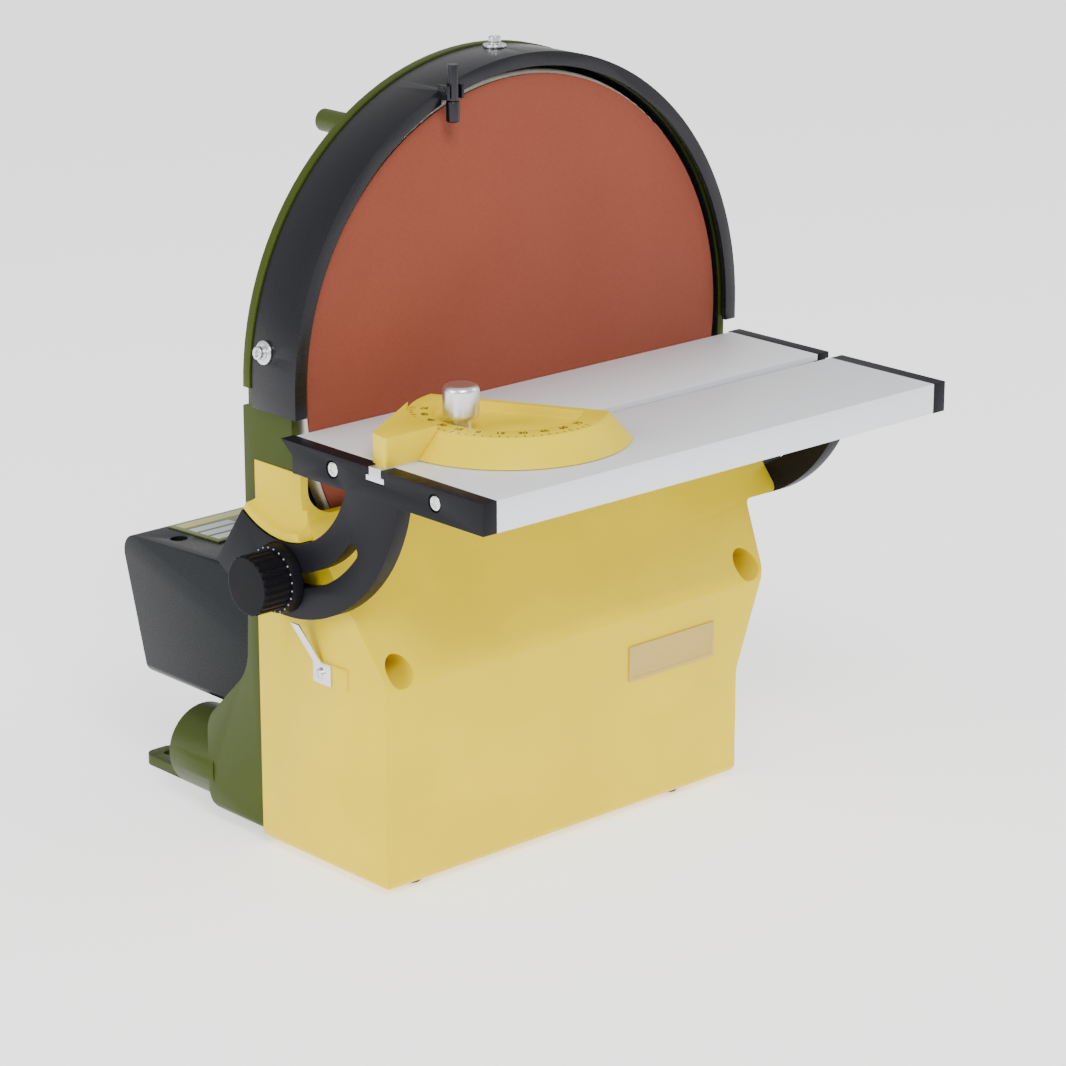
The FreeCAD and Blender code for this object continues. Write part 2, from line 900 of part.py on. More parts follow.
def spindle():
    flange_end = disc_rear_y + spindle_flange_thickness
    shaft = rod_y(0, disc_height, spindle_radius, disc_rear_y - spindle_spigot, boss_rear_y - running_gap)
    flange = rod_y(0, disc_height, spindle_flange_radius, disc_rear_y, flange_end)
    holes = [rod_y(x, z, disc_screw_radius + fit_gap, disc_rear_y - 1, flange_end + 1)
             for x, z in disc_screw_places()]
    return without(shaft.fuse(flange), holes)


def disc_screws():
    flange_end = disc_rear_y + spindle_flange_thickness
    screws = []
    for x, z in disc_screw_places():
        shank = rod_y(x, z, disc_screw_radius, disc_rear_y - disc_screw_depth, flange_end)
        head = rod_y(x, z, disc_screw_head, flange_end, pulley_front_y - 0.5)
        screws.append(shank.fuse(head))
    return group(screws)


# Spindle bearings and their cap

def bearing(y0):
    mid_y = y0 + bearing_width / 2
    inner_bore = spindle_radius + running_gap
    ball_circle = (bearing_outer + inner_bore) / 2
    outer_ring = tube_y(0, disc_height, bearing_outer, bearing_outer - bearing_ring, y0, y0 + bearing_width)
    inner_ring = tube_y(0, disc_height, inner_bore + bearing_ring, inner_bore, y0, y0 + bearing_width)
    track = Part.makeTorus(ball_circle, bearing_ball + fit_gap, V(0, mid_y, disc_height), ALONG_Y)
    solids = [outer_ring.cut(track), inner_ring.cut(track)]
    for i in range(bearing_ball_count):
        x, z = polar(ball_circle, 360 * i / bearing_ball_count)
        solids.append(Part.makeSphere(bearing_ball, V(x, mid_y, disc_height + z)))
    return group(solids)


def bearing_cap():
    lid = rod_y(0, disc_height, boss_radius, boss_rear_y, boss_rear_y + cap_thickness)
    return lid.makeFillet(1.5, [max(lid.Edges, key=lambda e: e.CenterOfMass.y)])


# Pulleys and belt

def groove_offsets():
    first = -(groove_count - 1) / 2
    return [(first + i) * groove_pitch for i in range(groove_count)]


def pulley(x, z, radius, hub_bore):
    rim = rod_y(x, z, radius, pulley_front_y, pulley_front_y + pulley_width)
    cuts = [rod_y(x, z, hub_bore, pulley_front_y - 1, pulley_front_y + pulley_width + 1)]
    for offset in groove_offsets():
        y = belt_y + offset
        section = Part.makePolygon([
            V(x, y - groove_mouth, z + radius + 0.01),
            V(x, y - groove_floor, z + radius - groove_depth),
            V(x, y + groove_floor, z + radius - groove_depth),
            V(x, y + groove_mouth, z + radius + 0.01),
            V(x, y - groove_mouth, z + radius + 0.01),
        ])
        cuts.append(Part.Face(section).revolve(V(x, 0, z), ALONG_Y, 360))
    return without(rim, cuts)


def spindle_pulley():
    wheel = pulley(0, disc_height, large_pulley_radius, spindle_radius + fit_gap)
    inner = large_pulley_radius - pulley_rim
    web_front = belt_y - pulley_web / 2
    web_rear = belt_y + pulley_web / 2
    front = pulley_front_y - 1
    rear = pulley_front_y + pulley_width + 1
    pocket = [tube_y(0, disc_height, inner, pulley_hub_radius, front, web_front)]
    pocket.append(tube_y(0, disc_height, inner, pulley_hub_radius, web_rear, rear))
    window_circle = (inner + pulley_hub_radius) / 2
    for i in range(pulley_window_count):
        x, z = polar(window_circle, 360 * i / pulley_window_count)
        pocket.append(rod_y(x, disc_height + z, pulley_window_radius, web_front - 1, web_rear + 1))
    screw_room = [rod_y(x, z, disc_screw_head + 0.5, pulley_front_y - 1, web_front)
                  for x, z in disc_screw_places()]
    return without(wheel, pocket + screw_room)


def motor_pulley():
    return pulley(motor_x, motor_z, small_pulley_radius, motor_shaft_radius + fit_gap)


def belt_section():
    half = groove_offsets()[-1] + belt_edge
    points = [(-half, belt_gap + belt_back), (-half, belt_gap)]
    tip = belt_gap - groove_depth + 0.5
    for offset in groove_offsets():
        points.append((offset - groove_mouth + belt_gap, belt_gap))
        points.append((offset - 0.15, tip))
        points.append((offset + 0.15, tip))
        points.append((offset + groove_mouth - belt_gap, belt_gap))
    points += [(half, belt_gap), (half, belt_gap + belt_back)]
    return points


def belt_face(radius, centre, direction):
    outward = V(direction[0], 0, direction[1])
    corners = [centre + outward * (radius + rise) + V(0, belt_y + side, 0) for side, rise in belt_section()]
    return Part.Face(Part.makePolygon(corners + [corners[0]]))


def drive_belt():
    big = V(0, 0, disc_height)
    small = V(motor_x, 0, motor_z)
    line = small - big
    bearing_angle = math.degrees(math.atan2(line.z, line.x))
    spread = math.degrees(math.acos((large_pulley_radius - small_pulley_radius) / line.Length))
    first = polar(1, bearing_angle + spread)
    second = polar(1, bearing_angle - spread)
    big_arc = belt_face(large_pulley_radius, big, first).revolve(big, ALONG_Y, -(360 - 2 * spread))
    small_arc = belt_face(small_pulley_radius, small, second).revolve(small, ALONG_Y, -2 * spread)
    start = belt_face(large_pulley_radius, big, first)
    run = small + V(first[0], 0, first[1]) * small_pulley_radius
    run = run - big - V(first[0], 0, first[1]) * large_pulley_radius
    first_run = start.extrude(run)
    start = belt_face(large_pulley_radius, big, second)
    run = small + V(second[0], 0, second[1]) * small_pulley_radius
    run = run - big - V(second[0], 0, second[1]) * large_pulley_radius
    second_run = start.extrude(run)
    return joined([big_arc, first_run, small_arc, second_run])


# Motor

def motor_body():
    end = motor_face_y + motor_length
    can = rod_y(motor_x, motor_z, motor_radius, motor_face_y, end)
    can = can.makeFillet(3, round_edges(can.Edges, motor_radius))
    spigot = rod_y(motor_x, motor_z, motor_spigot_radius - fit_gap, motor_face_y - 2, motor_face_y + 1)
    end_boss = rod_y(motor_x, motor_z, motor_end_boss, end - 1, end + motor_end_boss_length)
    bore = rod_y(motor_x, motor_z, motor_shaft_radius + running_gap,
                 motor_face_y - 3, motor_face_y + motor_shaft_inside + 1)
    screw_end = motor_face_y + motor_screw_depth
    holes = [rod_y(x, motor_z, motor_screw_radius + fit_gap, motor_face_y - 1, screw_end)
             for x in motor_screw_xs()]
    slots = []
    vent_end = end - motor_vent_inset
    for i in range(motor_vent_count):
        slot = box(-motor_vent_width / 2, motor_vent_width / 2, vent_end - motor_vent_length, vent_end,
                   motor_radius - 2, motor_radius + 1)
        slot.translate(V(motor_x, 0, motor_z))
        angle = 360 * (i + 0.5) / motor_vent_count
        slots.append(turned(slot, angle, ALONG_Y, V(motor_x, 0, motor_z)))
    return without(joined([can, spigot, end_boss]), [bore] + holes + slots)


def motor_shaft():
    return rod_y(motor_x, motor_z, motor_shaft_radius, pulley_front_y - 1, motor_face_y + motor_shaft_inside)


def motor_screws():
    screws = []
    for x in motor_screw_xs():
        head_front = back_wall_y - motor_screw_head_height
        head = rod_y(x, motor_z, motor_screw_head, head_front, back_wall_y)
        shank = rod_y(x, motor_z, motor_screw_radius, back_wall_y, motor_face_y + motor_screw_depth - 1)
        screws.append(head.fuse(shank))
    return group(screws)


def cover_screw_xs():
    return (cover_left + cover_screw_inset, cover_right - cover_screw_inset)


def cover_top_at(y):
    slope = (cover_rear_top - cover_front_top) / (cover_rear_y - column_rear_y)
    return cover_front_top + slope * (y - column_rear_y)


def motor_saddle():
    ring = tube_y(motor_x, motor_z, motor_radius + saddle_wall, motor_radius + fit_gap,
                  saddle_y, saddle_y + saddle_width)
    left, right = cover_screw_xs()
    bar = box(left, right, saddle_y, saddle_y + saddle_width, saddle_bar_z, saddle_bar_z + saddle_bar_height)
    bar = bar.cut(rod_y(motor_x, motor_z, motor_radius + fit_gap, saddle_y - 1, saddle_y + saddle_width + 1))
    mid_y = saddle_y + saddle_width / 2
    top = cover_top_at(mid_y) - cover_wall - cover_well_depth
    posts = [rod_z(x, mid_y, saddle_post_radius, saddle_bar_z, top) for x in (left, right)]
    holes = [rod_z(x, mid_y, cover_screw_radius + fit_gap, saddle_bar_z + 3, top + 1) for x in (left, right)]
    return without(joined([ring, bar] + posts), holes)


# Motor cover

def cover_solid(inset):
    front = joint_y
    profile = rounded_face([
        (front, cover_bottom, 0),
        (cover_rear_bottom_y, cover_bottom, cover_round / 2),
        (cover_rear_y, cover_rear_top, cover_round),
        (front, cover_top_at(front), 0),
    ], on_side)
    outline = rounded_face([
        (cover_left, cover_bottom, cover_round / 2),
        (cover_right, cover_bottom, cover_round / 2),
        (cover_right, cover_front_top + 5, cover_round),
        (cover_left, cover_front_top + 5, cover_round),
    ], on_front)
    if inset:
        profile = profile.makeOffset2D(-inset)
        outline = outline.makeOffset2D(-inset)
    solid = prism_x(profile, cover_left - 1, cover_right + 1)
    return solid.common(prism_y(outline, front - 1, cover_rear_y + 1))


def cover_screw_wells(radius, depth):
    mid_y = saddle_y + saddle_width / 2
    top = cover_top_at(mid_y)
    return [rod_z(x, mid_y, radius, top - depth, top + 2) for x in cover_screw_xs()]


def motor_cover():
    shell = cover_solid(0).cut(cover_solid(cover_wall))
    rims = cover_screw_wells(cover_screw_well + cover_well_wall, cover_wall + cover_well_depth)
    wells = [rim.common(cover_solid(0)) for rim in rims]
    shell = joined([shell] + wells)
    shell = without(shell, cover_screw_wells(cover_screw_well, cover_well_depth))
    shell = without(shell, cover_screw_wells(cover_screw_radius + fit_gap, 20.0))
    ahead = box(cover_left - 1, cover_right + 1, 0, column_rear_y, 0, cover_front_top + cover_round)
    return shell.cut(rear_block()).cut(ahead)


def cover_screws():
    screws = []
    mid_y = saddle_y + saddle_width / 2
    seat = cover_top_at(mid_y) - cover_well_depth
    for x in cover_screw_xs():
        head = rod_z(x, mid_y, cover_screw_head, seat, seat + cover_screw_head_height)
        shank = rod_z(x, mid_y, cover_screw_radius, saddle_bar_z + 4, seat)
        screws.append(head.fuse(shank))
    return group(screws)


# Labels

def name_plate():
    return box(name_plate_left, name_plate_right, front_face_y - plate_thickness, front_face_y,
               name_plate_bottom, name_plate_top)


def rating_label():
    front = cover_top_at(label_front_y)
    rear = cover_top_at(label_rear_y)
    outline = sharp([
        (label_front_y, front),
        (label_rear_y, rear),
        (label_rear_y, rear + plate_thickness),
        (label_front_y, front + plate_thickness),
    ])
    return prism_x(rounded_face(outline, on_side), label_left, label_right)


# Table plate

def table_plate():
    rear_y = -table_gap_to_disc
    lean = math.tan(math.radians(tilt_max))
    bevel_y = rear_y - (table_thickness - table_rear_land) * lean
    outline = rounded_face(sharp([
        (table_front_y, table_bottom),
        (bevel_y, table_bottom),
        (rear_y, table_height - table_rear_land),
        (rear_y, table_height),
        (table_front_y, table_height),
    ]), on_side)
    plate = prism_x(outline, -table_half, table_half)
    cuts = [box(-table_half - 1, table_half + 1, slot_y - slot_opening / 2, slot_y + slot_opening / 2,
                slot_floor, table_height + 1)]
    cuts.append(box(-table_half - 1, table_half + 1, slot_y - slot_undercut / 2, slot_y + slot_undercut / 2,
                    slot_floor, lip_bottom))
    for y0, y1 in plate_chambers(bevel_y):
        cuts.append(box(-table_half - 1, table_half + 1, y0, y1,
                        table_bottom + table_skin, table_height - table_skin))
    for y in screw_channel_ys:
        cuts.append(rod_x(y, screw_channel_z, table_screw_radius + fit_gap, -table_half - 1, table_half + 1))
    cuts += [horn_relief(), mirrored(horn_relief())]
    return without(plate, cuts)


# At full tilt the horn's front meets the plate's underside here, seen from the plate
def horn_relief():
    angle = math.radians(tilt_max)
    depth = (table_thickness - horn_front_y * math.sin(angle)) / math.cos(angle)
    front = horn_front_y * math.cos(angle) - depth * math.sin(angle)
    top = table_height - horn_front_y * math.sin(angle) - horn_drop * math.cos(angle)
    front -= moving_gap / math.cos(angle)
    inner = housing_inner_half - 2 * moving_gap
    return box(inner, table_half + 1, front, 0, table_bottom - 1, top + moving_gap)


def plate_chambers(bevel_y):
    slot_block = slot_undercut / 2 + table_skin
    near, far = screw_channel_ys
    return [
        (table_front_y + table_skin, far - screw_channel_radius),
        (far + screw_channel_radius, slot_y - slot_block),
        (slot_y + slot_block, near - screw_channel_radius),
        (near + screw_channel_radius, bevel_y - table_skin),
    ]


# Table brackets: end cap and slotted tilt sector in one moulding

def arc_points(radius, start, end, count):
    return [tilt_point(radius, start + (end - start) * i / count) for i in range(count + 1)]


def sector_face():
    front_outer = math.degrees(math.acos(table_thickness / sector_outer))
    front_inner = math.degrees(math.acos(table_thickness / sector_inner))
    place = lambda p: on_side(*p)
    outer = Part.Arc(*[place(p) for p in arc_points(sector_outer, -sector_rear_angle, front_outer, 2)])
    inner = Part.Arc(*[place(p) for p in arc_points(sector_inner, front_inner, -sector_rear_angle, 2)])
    top = Part.LineSegment(outer.EndPoint, inner.StartPoint)
    rear = Part.LineSegment(inner.EndPoint, outer.StartPoint)
    return Part.Face(Part.Wire([part.toShape() for part in (outer, top, inner, rear)]))


def tilt_slot():
    radius = stud_radius + moving_gap
    pivot = V(0, 0, table_height)
    cutter = rod_x(0, stud_z, radius, bracket_inner - 1, bracket_outer + 1)
    lane = box(bracket_inner - 1, bracket_outer + 1, 0, 0.001, stud_z - radius, stud_z + radius)
    lane = [f for f in lane.Faces if abs(f.normalAt(0, 0).y + 1) < 1e-6][0]
    swept = lane.revolve(pivot, ALONG_X, -(tilt_max + 0.5))
    swept_up = lane.revolve(pivot, ALONG_X, tilt_up + 0.5)
    front_end = turned(cutter, -(tilt_max + 0.5), ALONG_X, pivot)
    rear_end = turned(cutter, tilt_up + 0.5, ALONG_X, pivot)
    return [cutter, swept, swept_up, front_end, rear_end]


def table_bracket():
    strip = rounded_face(sharp([
        (table_front_y, table_bottom),
        (bracket_heel_y, table_bottom),
        (bracket_heel_y, table_height - bracket_heel_drop),
        (bracket_tip_y, table_height),
        (table_front_y, table_height),
    ]), on_side)
    solids = [prism_x(strip, bracket_inner, bracket_outer)]
    solids.append(prism_x(sector_face(), bracket_inner, bracket_outer))
    whole = joined(solids)
    ends = (bracket_inner - 1, bracket_outer + 1)
    opening = slot_opening / 2
    undercut = slot_undercut / 2
    cuts = tilt_slot()
    cuts.append(box(*ends, slot_y - opening, slot_y + opening, slot_floor, table_height + 1))
    cuts.append(box(*ends, slot_y - undercut, slot_y + undercut, slot_floor, lip_bottom))
    for y in screw_channel_ys:
        cuts.append(rod_x(y, screw_channel_z, table_screw_radius + fit_gap, *ends))
        recess_start = bracket_outer - screw_recess_depth
        cuts.append(rod_x(y, screw_channel_z, screw_recess_radius, recess_start, ends[1]))
    return without(whole, cuts)


def table_screws():
    screws = []
    seat = bracket_outer - screw_recess_depth
    for y in screw_channel_ys:
        shank = rod_x(y, screw_channel_z, table_screw_radius, seat - table_screw_length, seat)
        head = Part.makeCone(table_screw_head, table_screw_radius, table_screw_head_height,
                             V(seat, y, screw_channel_z), ALONG_X)
        screws.append(shank.fuse(head))
    return group(screws + [mirrored(screw) for screw in screws])


# Clamp studs and knobs

def clamp_studs():
    start = housing_inner_half - stud_boss_depth + 1
    end = bracket_outer + moving_gap + knob_stud_depth
    stud = rod_x(0, stud_z, stud_radius, start, end)
    return group([stud, mirrored(stud)])


def clamp_knob():
    start = bracket_outer + moving_gap
    skirt_end = start + knob_skirt_length
    end = start + knob_length
    skirt = Part.makeCone(knob_skirt_radius, knob_skirt_radius - 1, knob_skirt_length,
                          V(start, 0, stud_z), ALONG_X)
    grip = rod_x(0, stud_z, knob_grip_radius, skirt_end, end)
    grip = grip.makeFillet(1.2, [max(grip.Edges, key=lambda e: e.CenterOfMass.x)])
    flutes = []
    for i in range(knob_flute_count):
        y, z = polar(knob_grip_radius + 0.3, 360 * i / knob_flute_count)
        flutes.append(rod_x(y, stud_z + z, knob_flute_radius, skirt_end, end + 1))
    bore = rod_x(0, stud_z, stud_radius + running_gap, start - 1, start + knob_stud_depth + moving_gap)
    return joined([skirt, grip]).cut(group(flutes)).cut(bore)


# Angle pointer: a plate under a screw and a strip that rises to the sector's edge

def pointer_strip(start, end):
    width = V(0, 1, 0) * (pointer_strip_width / 2)
    depth = V(-pointer_thickness, 0, 0)
    corners = [start - width, start + width, end + width, end - width]
    face = Part.Face(Part.makePolygon(corners + [corners[0]]))
    return face.extrude(depth)


def angle_pointer():
    seat = -housing_half_width - pointer_pad
    half_width = pointer_plate_width / 2
    half_height = pointer_plate_height / 2
    plate = box(seat - pointer_thickness, seat, pointer_y - half_width, pointer_y + half_width,
                pointer_z - half_height, pointer_z + half_height)
    plate = plate.cut(rod_x(pointer_y, pointer_z, pointer_screw_radius + fit_gap, seat - 5, seat + 1))
    root = V(seat, pointer_y + half_width - pointer_strip_width / 2, pointer_z + half_height - 0.5)
    tip = V(seat - pointer_tip_stand, pointer_tip_y, pointer_tip_z)
    return plate.fuse(pointer_strip(root, tip)).removeSplitter()


def pointer_screw():
    seat = -housing_half_width - pointer_pad - pointer_thickness
    head = Part.makeCone(pointer_screw_head, pointer_screw_crown, pointer_screw_head_height,
                         V(seat, pointer_y, pointer_z), V(-1, 0, 0))
    shank = rod_x(pointer_y, pointer_z, pointer_screw_radius, seat, -housing_half_width + 8)
    return head.fuse(shank)


# Power switch, speed dial, control board and cable gland

def switch_opening():
    half_width = switch_width / 2
    half_height = switch_height / 2
    return box(neck_x - housing_wall - 1, neck_x + 1, switch_y - half_width, switch_y + half_width,
               switch_z - half_height, switch_z + half_height)


def switch_bezel():
    half_width = switch_width / 2
    half_height = switch_height / 2
    flange = box(neck_x, neck_x + switch_flange, switch_y - half_width - 2, switch_y + half_width + 2,
                 switch_z - half_height - 2, switch_z + half_height + 2)
    body = box(neck_x - switch_depth, neck_x,
               switch_y - half_width + touch_gap, switch_y + half_width - touch_gap,
               switch_z - half_height + touch_gap, switch_z + half_height - touch_gap)
    well = box(neck_x - switch_depth + bezel_wall, neck_x + switch_flange + 1,
               switch_y - half_width + bezel_wall, switch_y + half_width - bezel_wall,
               switch_z - half_height + bezel_wall, switch_z + half_height - bezel_wall)
    return flange.fuse(body).cut(well).fuse(rocker_pin(0)).removeSplitter()


def rocker_pin(extra):
    half_width = switch_width / 2
    return rod_y(rocker_x, switch_z, rocker_pin_radius + extra, switch_y - half_width + bezel_wall - 1,
                 switch_y + half_width - bezel_wall + 1)


def switch_rocker():
    half_width = switch_width / 2 - bezel_wall - moving_gap
    reach = switch_height / 2 - bezel_wall - 3 * moving_gap
    sides = (switch_y - half_width, switch_y + half_width)
    block = rod_y(rocker_x, switch_z, rocker_round, *sides)
    window = box(rocker_x - rocker_depth, neck_x + switch_flange + rocker_stand, *sides,
                 switch_z - reach, switch_z + reach)
    hollow = rod_y(neck_x + switch_flange + rocker_dish, switch_z, rocker_dish, *sides)
    rocker = block.common(window).cut(hollow).cut(rocker_pin(running_gap))
    return turned(rocker, rocker_tilt, ALONG_Y, V(rocker_x, switch_y, switch_z))


def dial_hole():
    return rod_x(dial_y, switch_z, dial_stem_radius + moving_gap, neck_x - housing_wall - 1, neck_x + 1)


def speed_dial():
    start = neck_x + moving_gap
    cap = rod_x(dial_y, switch_z, dial_radius, start, start + dial_height)
    cap = cap.makeFillet(1.5, [max(cap.Edges, key=lambda e: e.CenterOfMass.x)])
    ridges = []
    for i in range(dial_ridge_count):
        y, z = polar(dial_radius + dial_ridge_radius / 3, 360 * i / dial_ridge_count)
        ridges.append(rod_x(dial_y + y, switch_z + z, dial_ridge_radius, start + 2, start + dial_height + 1))
    stem = rod_x(dial_y, switch_z, dial_stem_radius, neck_x - housing_wall - 6, start)
    return cap.cut(group(ridges)).fuse(stem)


def speed_control():
    inner = neck_x - housing_wall
    half = pot_size / 2
    case = box(inner - pot_depth, inner, dial_y - half, dial_y + half, switch_z - half, switch_z + half)
    return case.cut(rod_x(dial_y, switch_z, dial_stem_radius + running_gap, inner - 7, inner + 1))


def control_board():
    bottom = front_bottom + housing_wall + standoff_height
    top = bottom + board_thickness
    board = box(board_left, board_right, board_front_y, board_rear_y, bottom, top)
    x0, x1, inset, height = board_heat_sink
    parts = [board, box(board_left + x0, board_left + x1, board_front_y + inset, board_rear_y - inset,
                        top, top + height)]
    for x, y, radius, height in board_capacitors:
        parts.append(rod_z(board_left + x, board_front_y + y, radius, top, top + height))
    x0, x1, inset, height = board_terminal
    parts.append(box(board_right - x0, board_right - x1, board_front_y + inset, board_rear_y - inset,
                     top, top + height))
    return group(parts)


def cable_gland():
    nut = rod_y(gland_x, gland_z, gland_radius, foot_rear_y, foot_rear_y + gland_nut_length)
    neck = Part.makeCone(gland_radius - 1.5, gland_bore + 1.6, gland_length - gland_nut_length,
                         V(gland_x, foot_rear_y + gland_nut_length, gland_z), ALONG_Y)
    stem = rod_y(gland_x, gland_z, gland_stem, foot_rear_y - housing_wall - 3, foot_rear_y)
    bore = rod_y(gland_x, gland_z, gland_bore, foot_rear_y - 20, foot_rear_y + gland_length + 1)
    return joined([nut, neck, stem]).cut(bore)


# Mitre gauge

def mitre_bar():
    web = slot_opening / 2 - moving_gap
    flange = slot_undercut / 2 - moving_gap
    right = bar_left + bar_length
    bar = box(bar_left, right, slot_y - web, slot_y + web, slot_floor + moving_gap, head_bottom)
    wings = box(bar_left, right, slot_y - flange, slot_y + flange,
                slot_floor + moving_gap, lip_bottom - moving_gap)
    bar = bar.fuse(wings).removeSplitter()
    holes = [rod_z(mitre_pivot_x, slot_y, mitre_pin_radius + fit_gap, slot_floor, head_bottom + 1)]
    holes.append(rod_z(clamp_x, slot_y, mitre_stud_radius + fit_gap, slot_floor, head_bottom + 1))
    return without(bar, holes)


def mitre_stud():
    top = recess_floor + moving_gap + thumb_washer_thickness + thumb_neck_length + thumb_stud_depth
    return rod_z(clamp_x, slot_y, mitre_stud_radius, slot_floor + moving_gap, top)


def mitre_pin():
    return rod_z(mitre_pivot_x, slot_y, mitre_pin_radius, slot_floor + moving_gap, recess_floor - 2)


def head_cone(extra):
    return Part.makeCone(head_bottom_radius + extra, head_top_radius + extra, head_height,
                         V(mitre_pivot_x, slot_y, head_bottom), ALONG_Z)


def mitre_head():
    x = mitre_pivot_x
    beyond_fence = box(x + fence_offset, x + 100, slot_y - 100, slot_y + 100, 0, head_top + 2)
    head = head_cone(0).cut(beyond_fence)
    recess = rod_z(x, slot_y, recess_radius, recess_floor, head_top + 1)
    recess = recess.cut(beyond_fence.translated(V(-fence_wall, 0, 0)))
    pin = rod_z(x, slot_y, mitre_pin_radius + running_gap, head_bottom - 1, recess_floor - 2 + moving_gap)
    head = without(head, [recess, pin] + swivel_slot())
    return turned(head, mitre_swivel, ALONG_Z, mitre_pivot)


# The stud stays on the bar, so the slot runs from the one swivel limit to the other
def swivel_slot():
    radius = mitre_stud_radius + moving_gap
    pivot = mitre_pivot
    lane = Part.Face(Part.makePolygon([
        V(clamp_x - radius, slot_y, head_bottom - 1),
        V(clamp_x + radius, slot_y, head_bottom - 1),
        V(clamp_x + radius, slot_y, recess_floor + 1),
        V(clamp_x - radius, slot_y, recess_floor + 1),
        V(clamp_x - radius, slot_y, head_bottom - 1),
    ]))
    end = rod_z(clamp_x, slot_y, radius, head_bottom - 1, recess_floor + 1)
    cuts = []
    for way in (1, -1):
        angle = way * (swivel_limit + 0.5)
        cuts.append(lane.revolve(pivot, ALONG_Z, angle))
        cuts.append(turned(end, angle, ALONG_Z, pivot))
    return cuts


def mitre_nose():
    tangent = polar(head_top_radius, nose_tangent_angle)
    root = polar(head_top_radius - 2, 185)
    outline = rounded_face([
        (nose_left, nose_front_y, 1.5),
        (mitre_pivot_x + root[0], nose_front_y, 0),
        (mitre_pivot_x + root[0] + 10, slot_y + 10, 0),
        (mitre_pivot_x + tangent[0], slot_y + tangent[1], 0),
        (nose_left + 2.5, nose_rear_y, 2.5),
    ], on_top)
    block = prism_z(outline, head_bottom, table_height + nose_height)
    cone = head_cone(moving_gap)
    above = rod_z(mitre_pivot_x, slot_y, head_top_radius + moving_gap, head_top - 0.01, head_top + 10)
    return block.cut(cone).cut(above)


def mitre_thumb_knob():
    base = recess_floor + moving_gap
    washer = rod_z(clamp_x, slot_y, thumb_washer_radius, base, base + thumb_washer_thickness)
    neck_top = base + thumb_washer_thickness + thumb_neck_length
    neck = rod_z(clamp_x, slot_y, thumb_neck_radius, base, neck_top)
    top = neck_top + thumb_head_length
    head = rod_z(clamp_x, slot_y, thumb_radius, neck_top, top)
    head = head.makeFillet(thumb_round, round_edges(head.Edges, thumb_radius))
    bore_top = neck_top + thumb_stud_depth + moving_gap
    bore = rod_z(clamp_x, slot_y, mitre_stud_radius + running_gap, base - 1, bore_top)
    return joined([washer, neck, head]).cut(bore)


os.makedirs("parts", exist_ok=True)

save("front_housing", front_housing())
save("rear_housing", rear_housing())
save("housing_screws", housing_screws())
save("front_feet", front_feet())
save("name_plate", name_plate())

save("disc_guard", disc_guard())
save("guard_washers", guard_washers())
save("guard_screws", guard_screws())
save("brake_lever", brake_lever())
save("brake_pin", brake_pin_shape(0))

save("abrasive_sheet", abrasive_sheet())
save("disc_plate", disc_plate())
save("disc_screws", disc_screws())
save("spindle", spindle())
save("front_bearing", bearing(front_bearing_y))
save("rear_bearing", bearing(rear_bearing_y))
save("bearing_cap", bearing_cap())
save("spindle_pulley", spindle_pulley())
save("drive_belt", drive_belt())
save("motor_pulley", motor_pulley())
save("motor_shaft", motor_shaft())
save("motor_body", motor_body())
save("motor_screws", motor_screws())
save("motor_saddle", motor_saddle())
save("motor_cover", motor_cover())
save("cover_screws", cover_screws())
save("rating_label", rating_label())

save("table_plate", table_plate())
save("right_table_bracket", table_bracket())
save("left_table_bracket", mirrored(table_bracket()))
save("table_screws", table_screws())
save("clamp_studs", clamp_studs())
save("right_clamp_knob", clamp_knob())
save("left_clamp_knob", mirrored(clamp_knob()))
save("angle_pointer", angle_pointer())
save("pointer_screw", pointer_screw())

save("switch_bezel", switch_bezel())
save("switch_rocker", switch_rocker())
save("speed_dial", speed_dial())
save("speed_control", speed_control())
save("control_board", control_board())
save("cable_gland", cable_gland())

save("mitre_bar", mitre_bar())
save("mitre_stud", mitre_stud())
save("mitre_pin", mitre_pin())
save("mitre_head", mitre_head())
save("mitre_nose", mitre_nose())
save("mitre_thumb_knob", mitre_thumb_knob())
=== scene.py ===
import json
import math

import bpy
from mathutils import Matrix, Vector

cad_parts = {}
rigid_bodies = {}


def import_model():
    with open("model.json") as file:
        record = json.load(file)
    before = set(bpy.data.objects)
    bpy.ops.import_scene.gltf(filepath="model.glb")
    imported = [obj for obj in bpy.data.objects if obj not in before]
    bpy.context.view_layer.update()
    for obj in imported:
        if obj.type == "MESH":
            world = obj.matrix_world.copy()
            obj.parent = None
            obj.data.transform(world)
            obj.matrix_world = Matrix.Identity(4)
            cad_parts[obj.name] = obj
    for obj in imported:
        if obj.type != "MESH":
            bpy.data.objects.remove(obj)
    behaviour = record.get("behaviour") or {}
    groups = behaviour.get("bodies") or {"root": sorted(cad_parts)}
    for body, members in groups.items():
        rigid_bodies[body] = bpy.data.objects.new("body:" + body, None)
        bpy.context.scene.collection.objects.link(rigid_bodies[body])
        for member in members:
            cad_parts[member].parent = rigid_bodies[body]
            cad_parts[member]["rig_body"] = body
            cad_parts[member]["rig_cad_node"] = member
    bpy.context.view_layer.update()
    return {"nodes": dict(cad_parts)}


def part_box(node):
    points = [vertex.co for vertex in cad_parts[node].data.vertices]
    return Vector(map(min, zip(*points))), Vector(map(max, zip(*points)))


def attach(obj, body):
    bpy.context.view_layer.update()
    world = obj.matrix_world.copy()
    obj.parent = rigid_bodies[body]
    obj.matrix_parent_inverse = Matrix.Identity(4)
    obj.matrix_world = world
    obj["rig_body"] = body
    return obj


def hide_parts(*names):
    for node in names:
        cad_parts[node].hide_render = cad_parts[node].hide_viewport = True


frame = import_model()
MM = 0.001


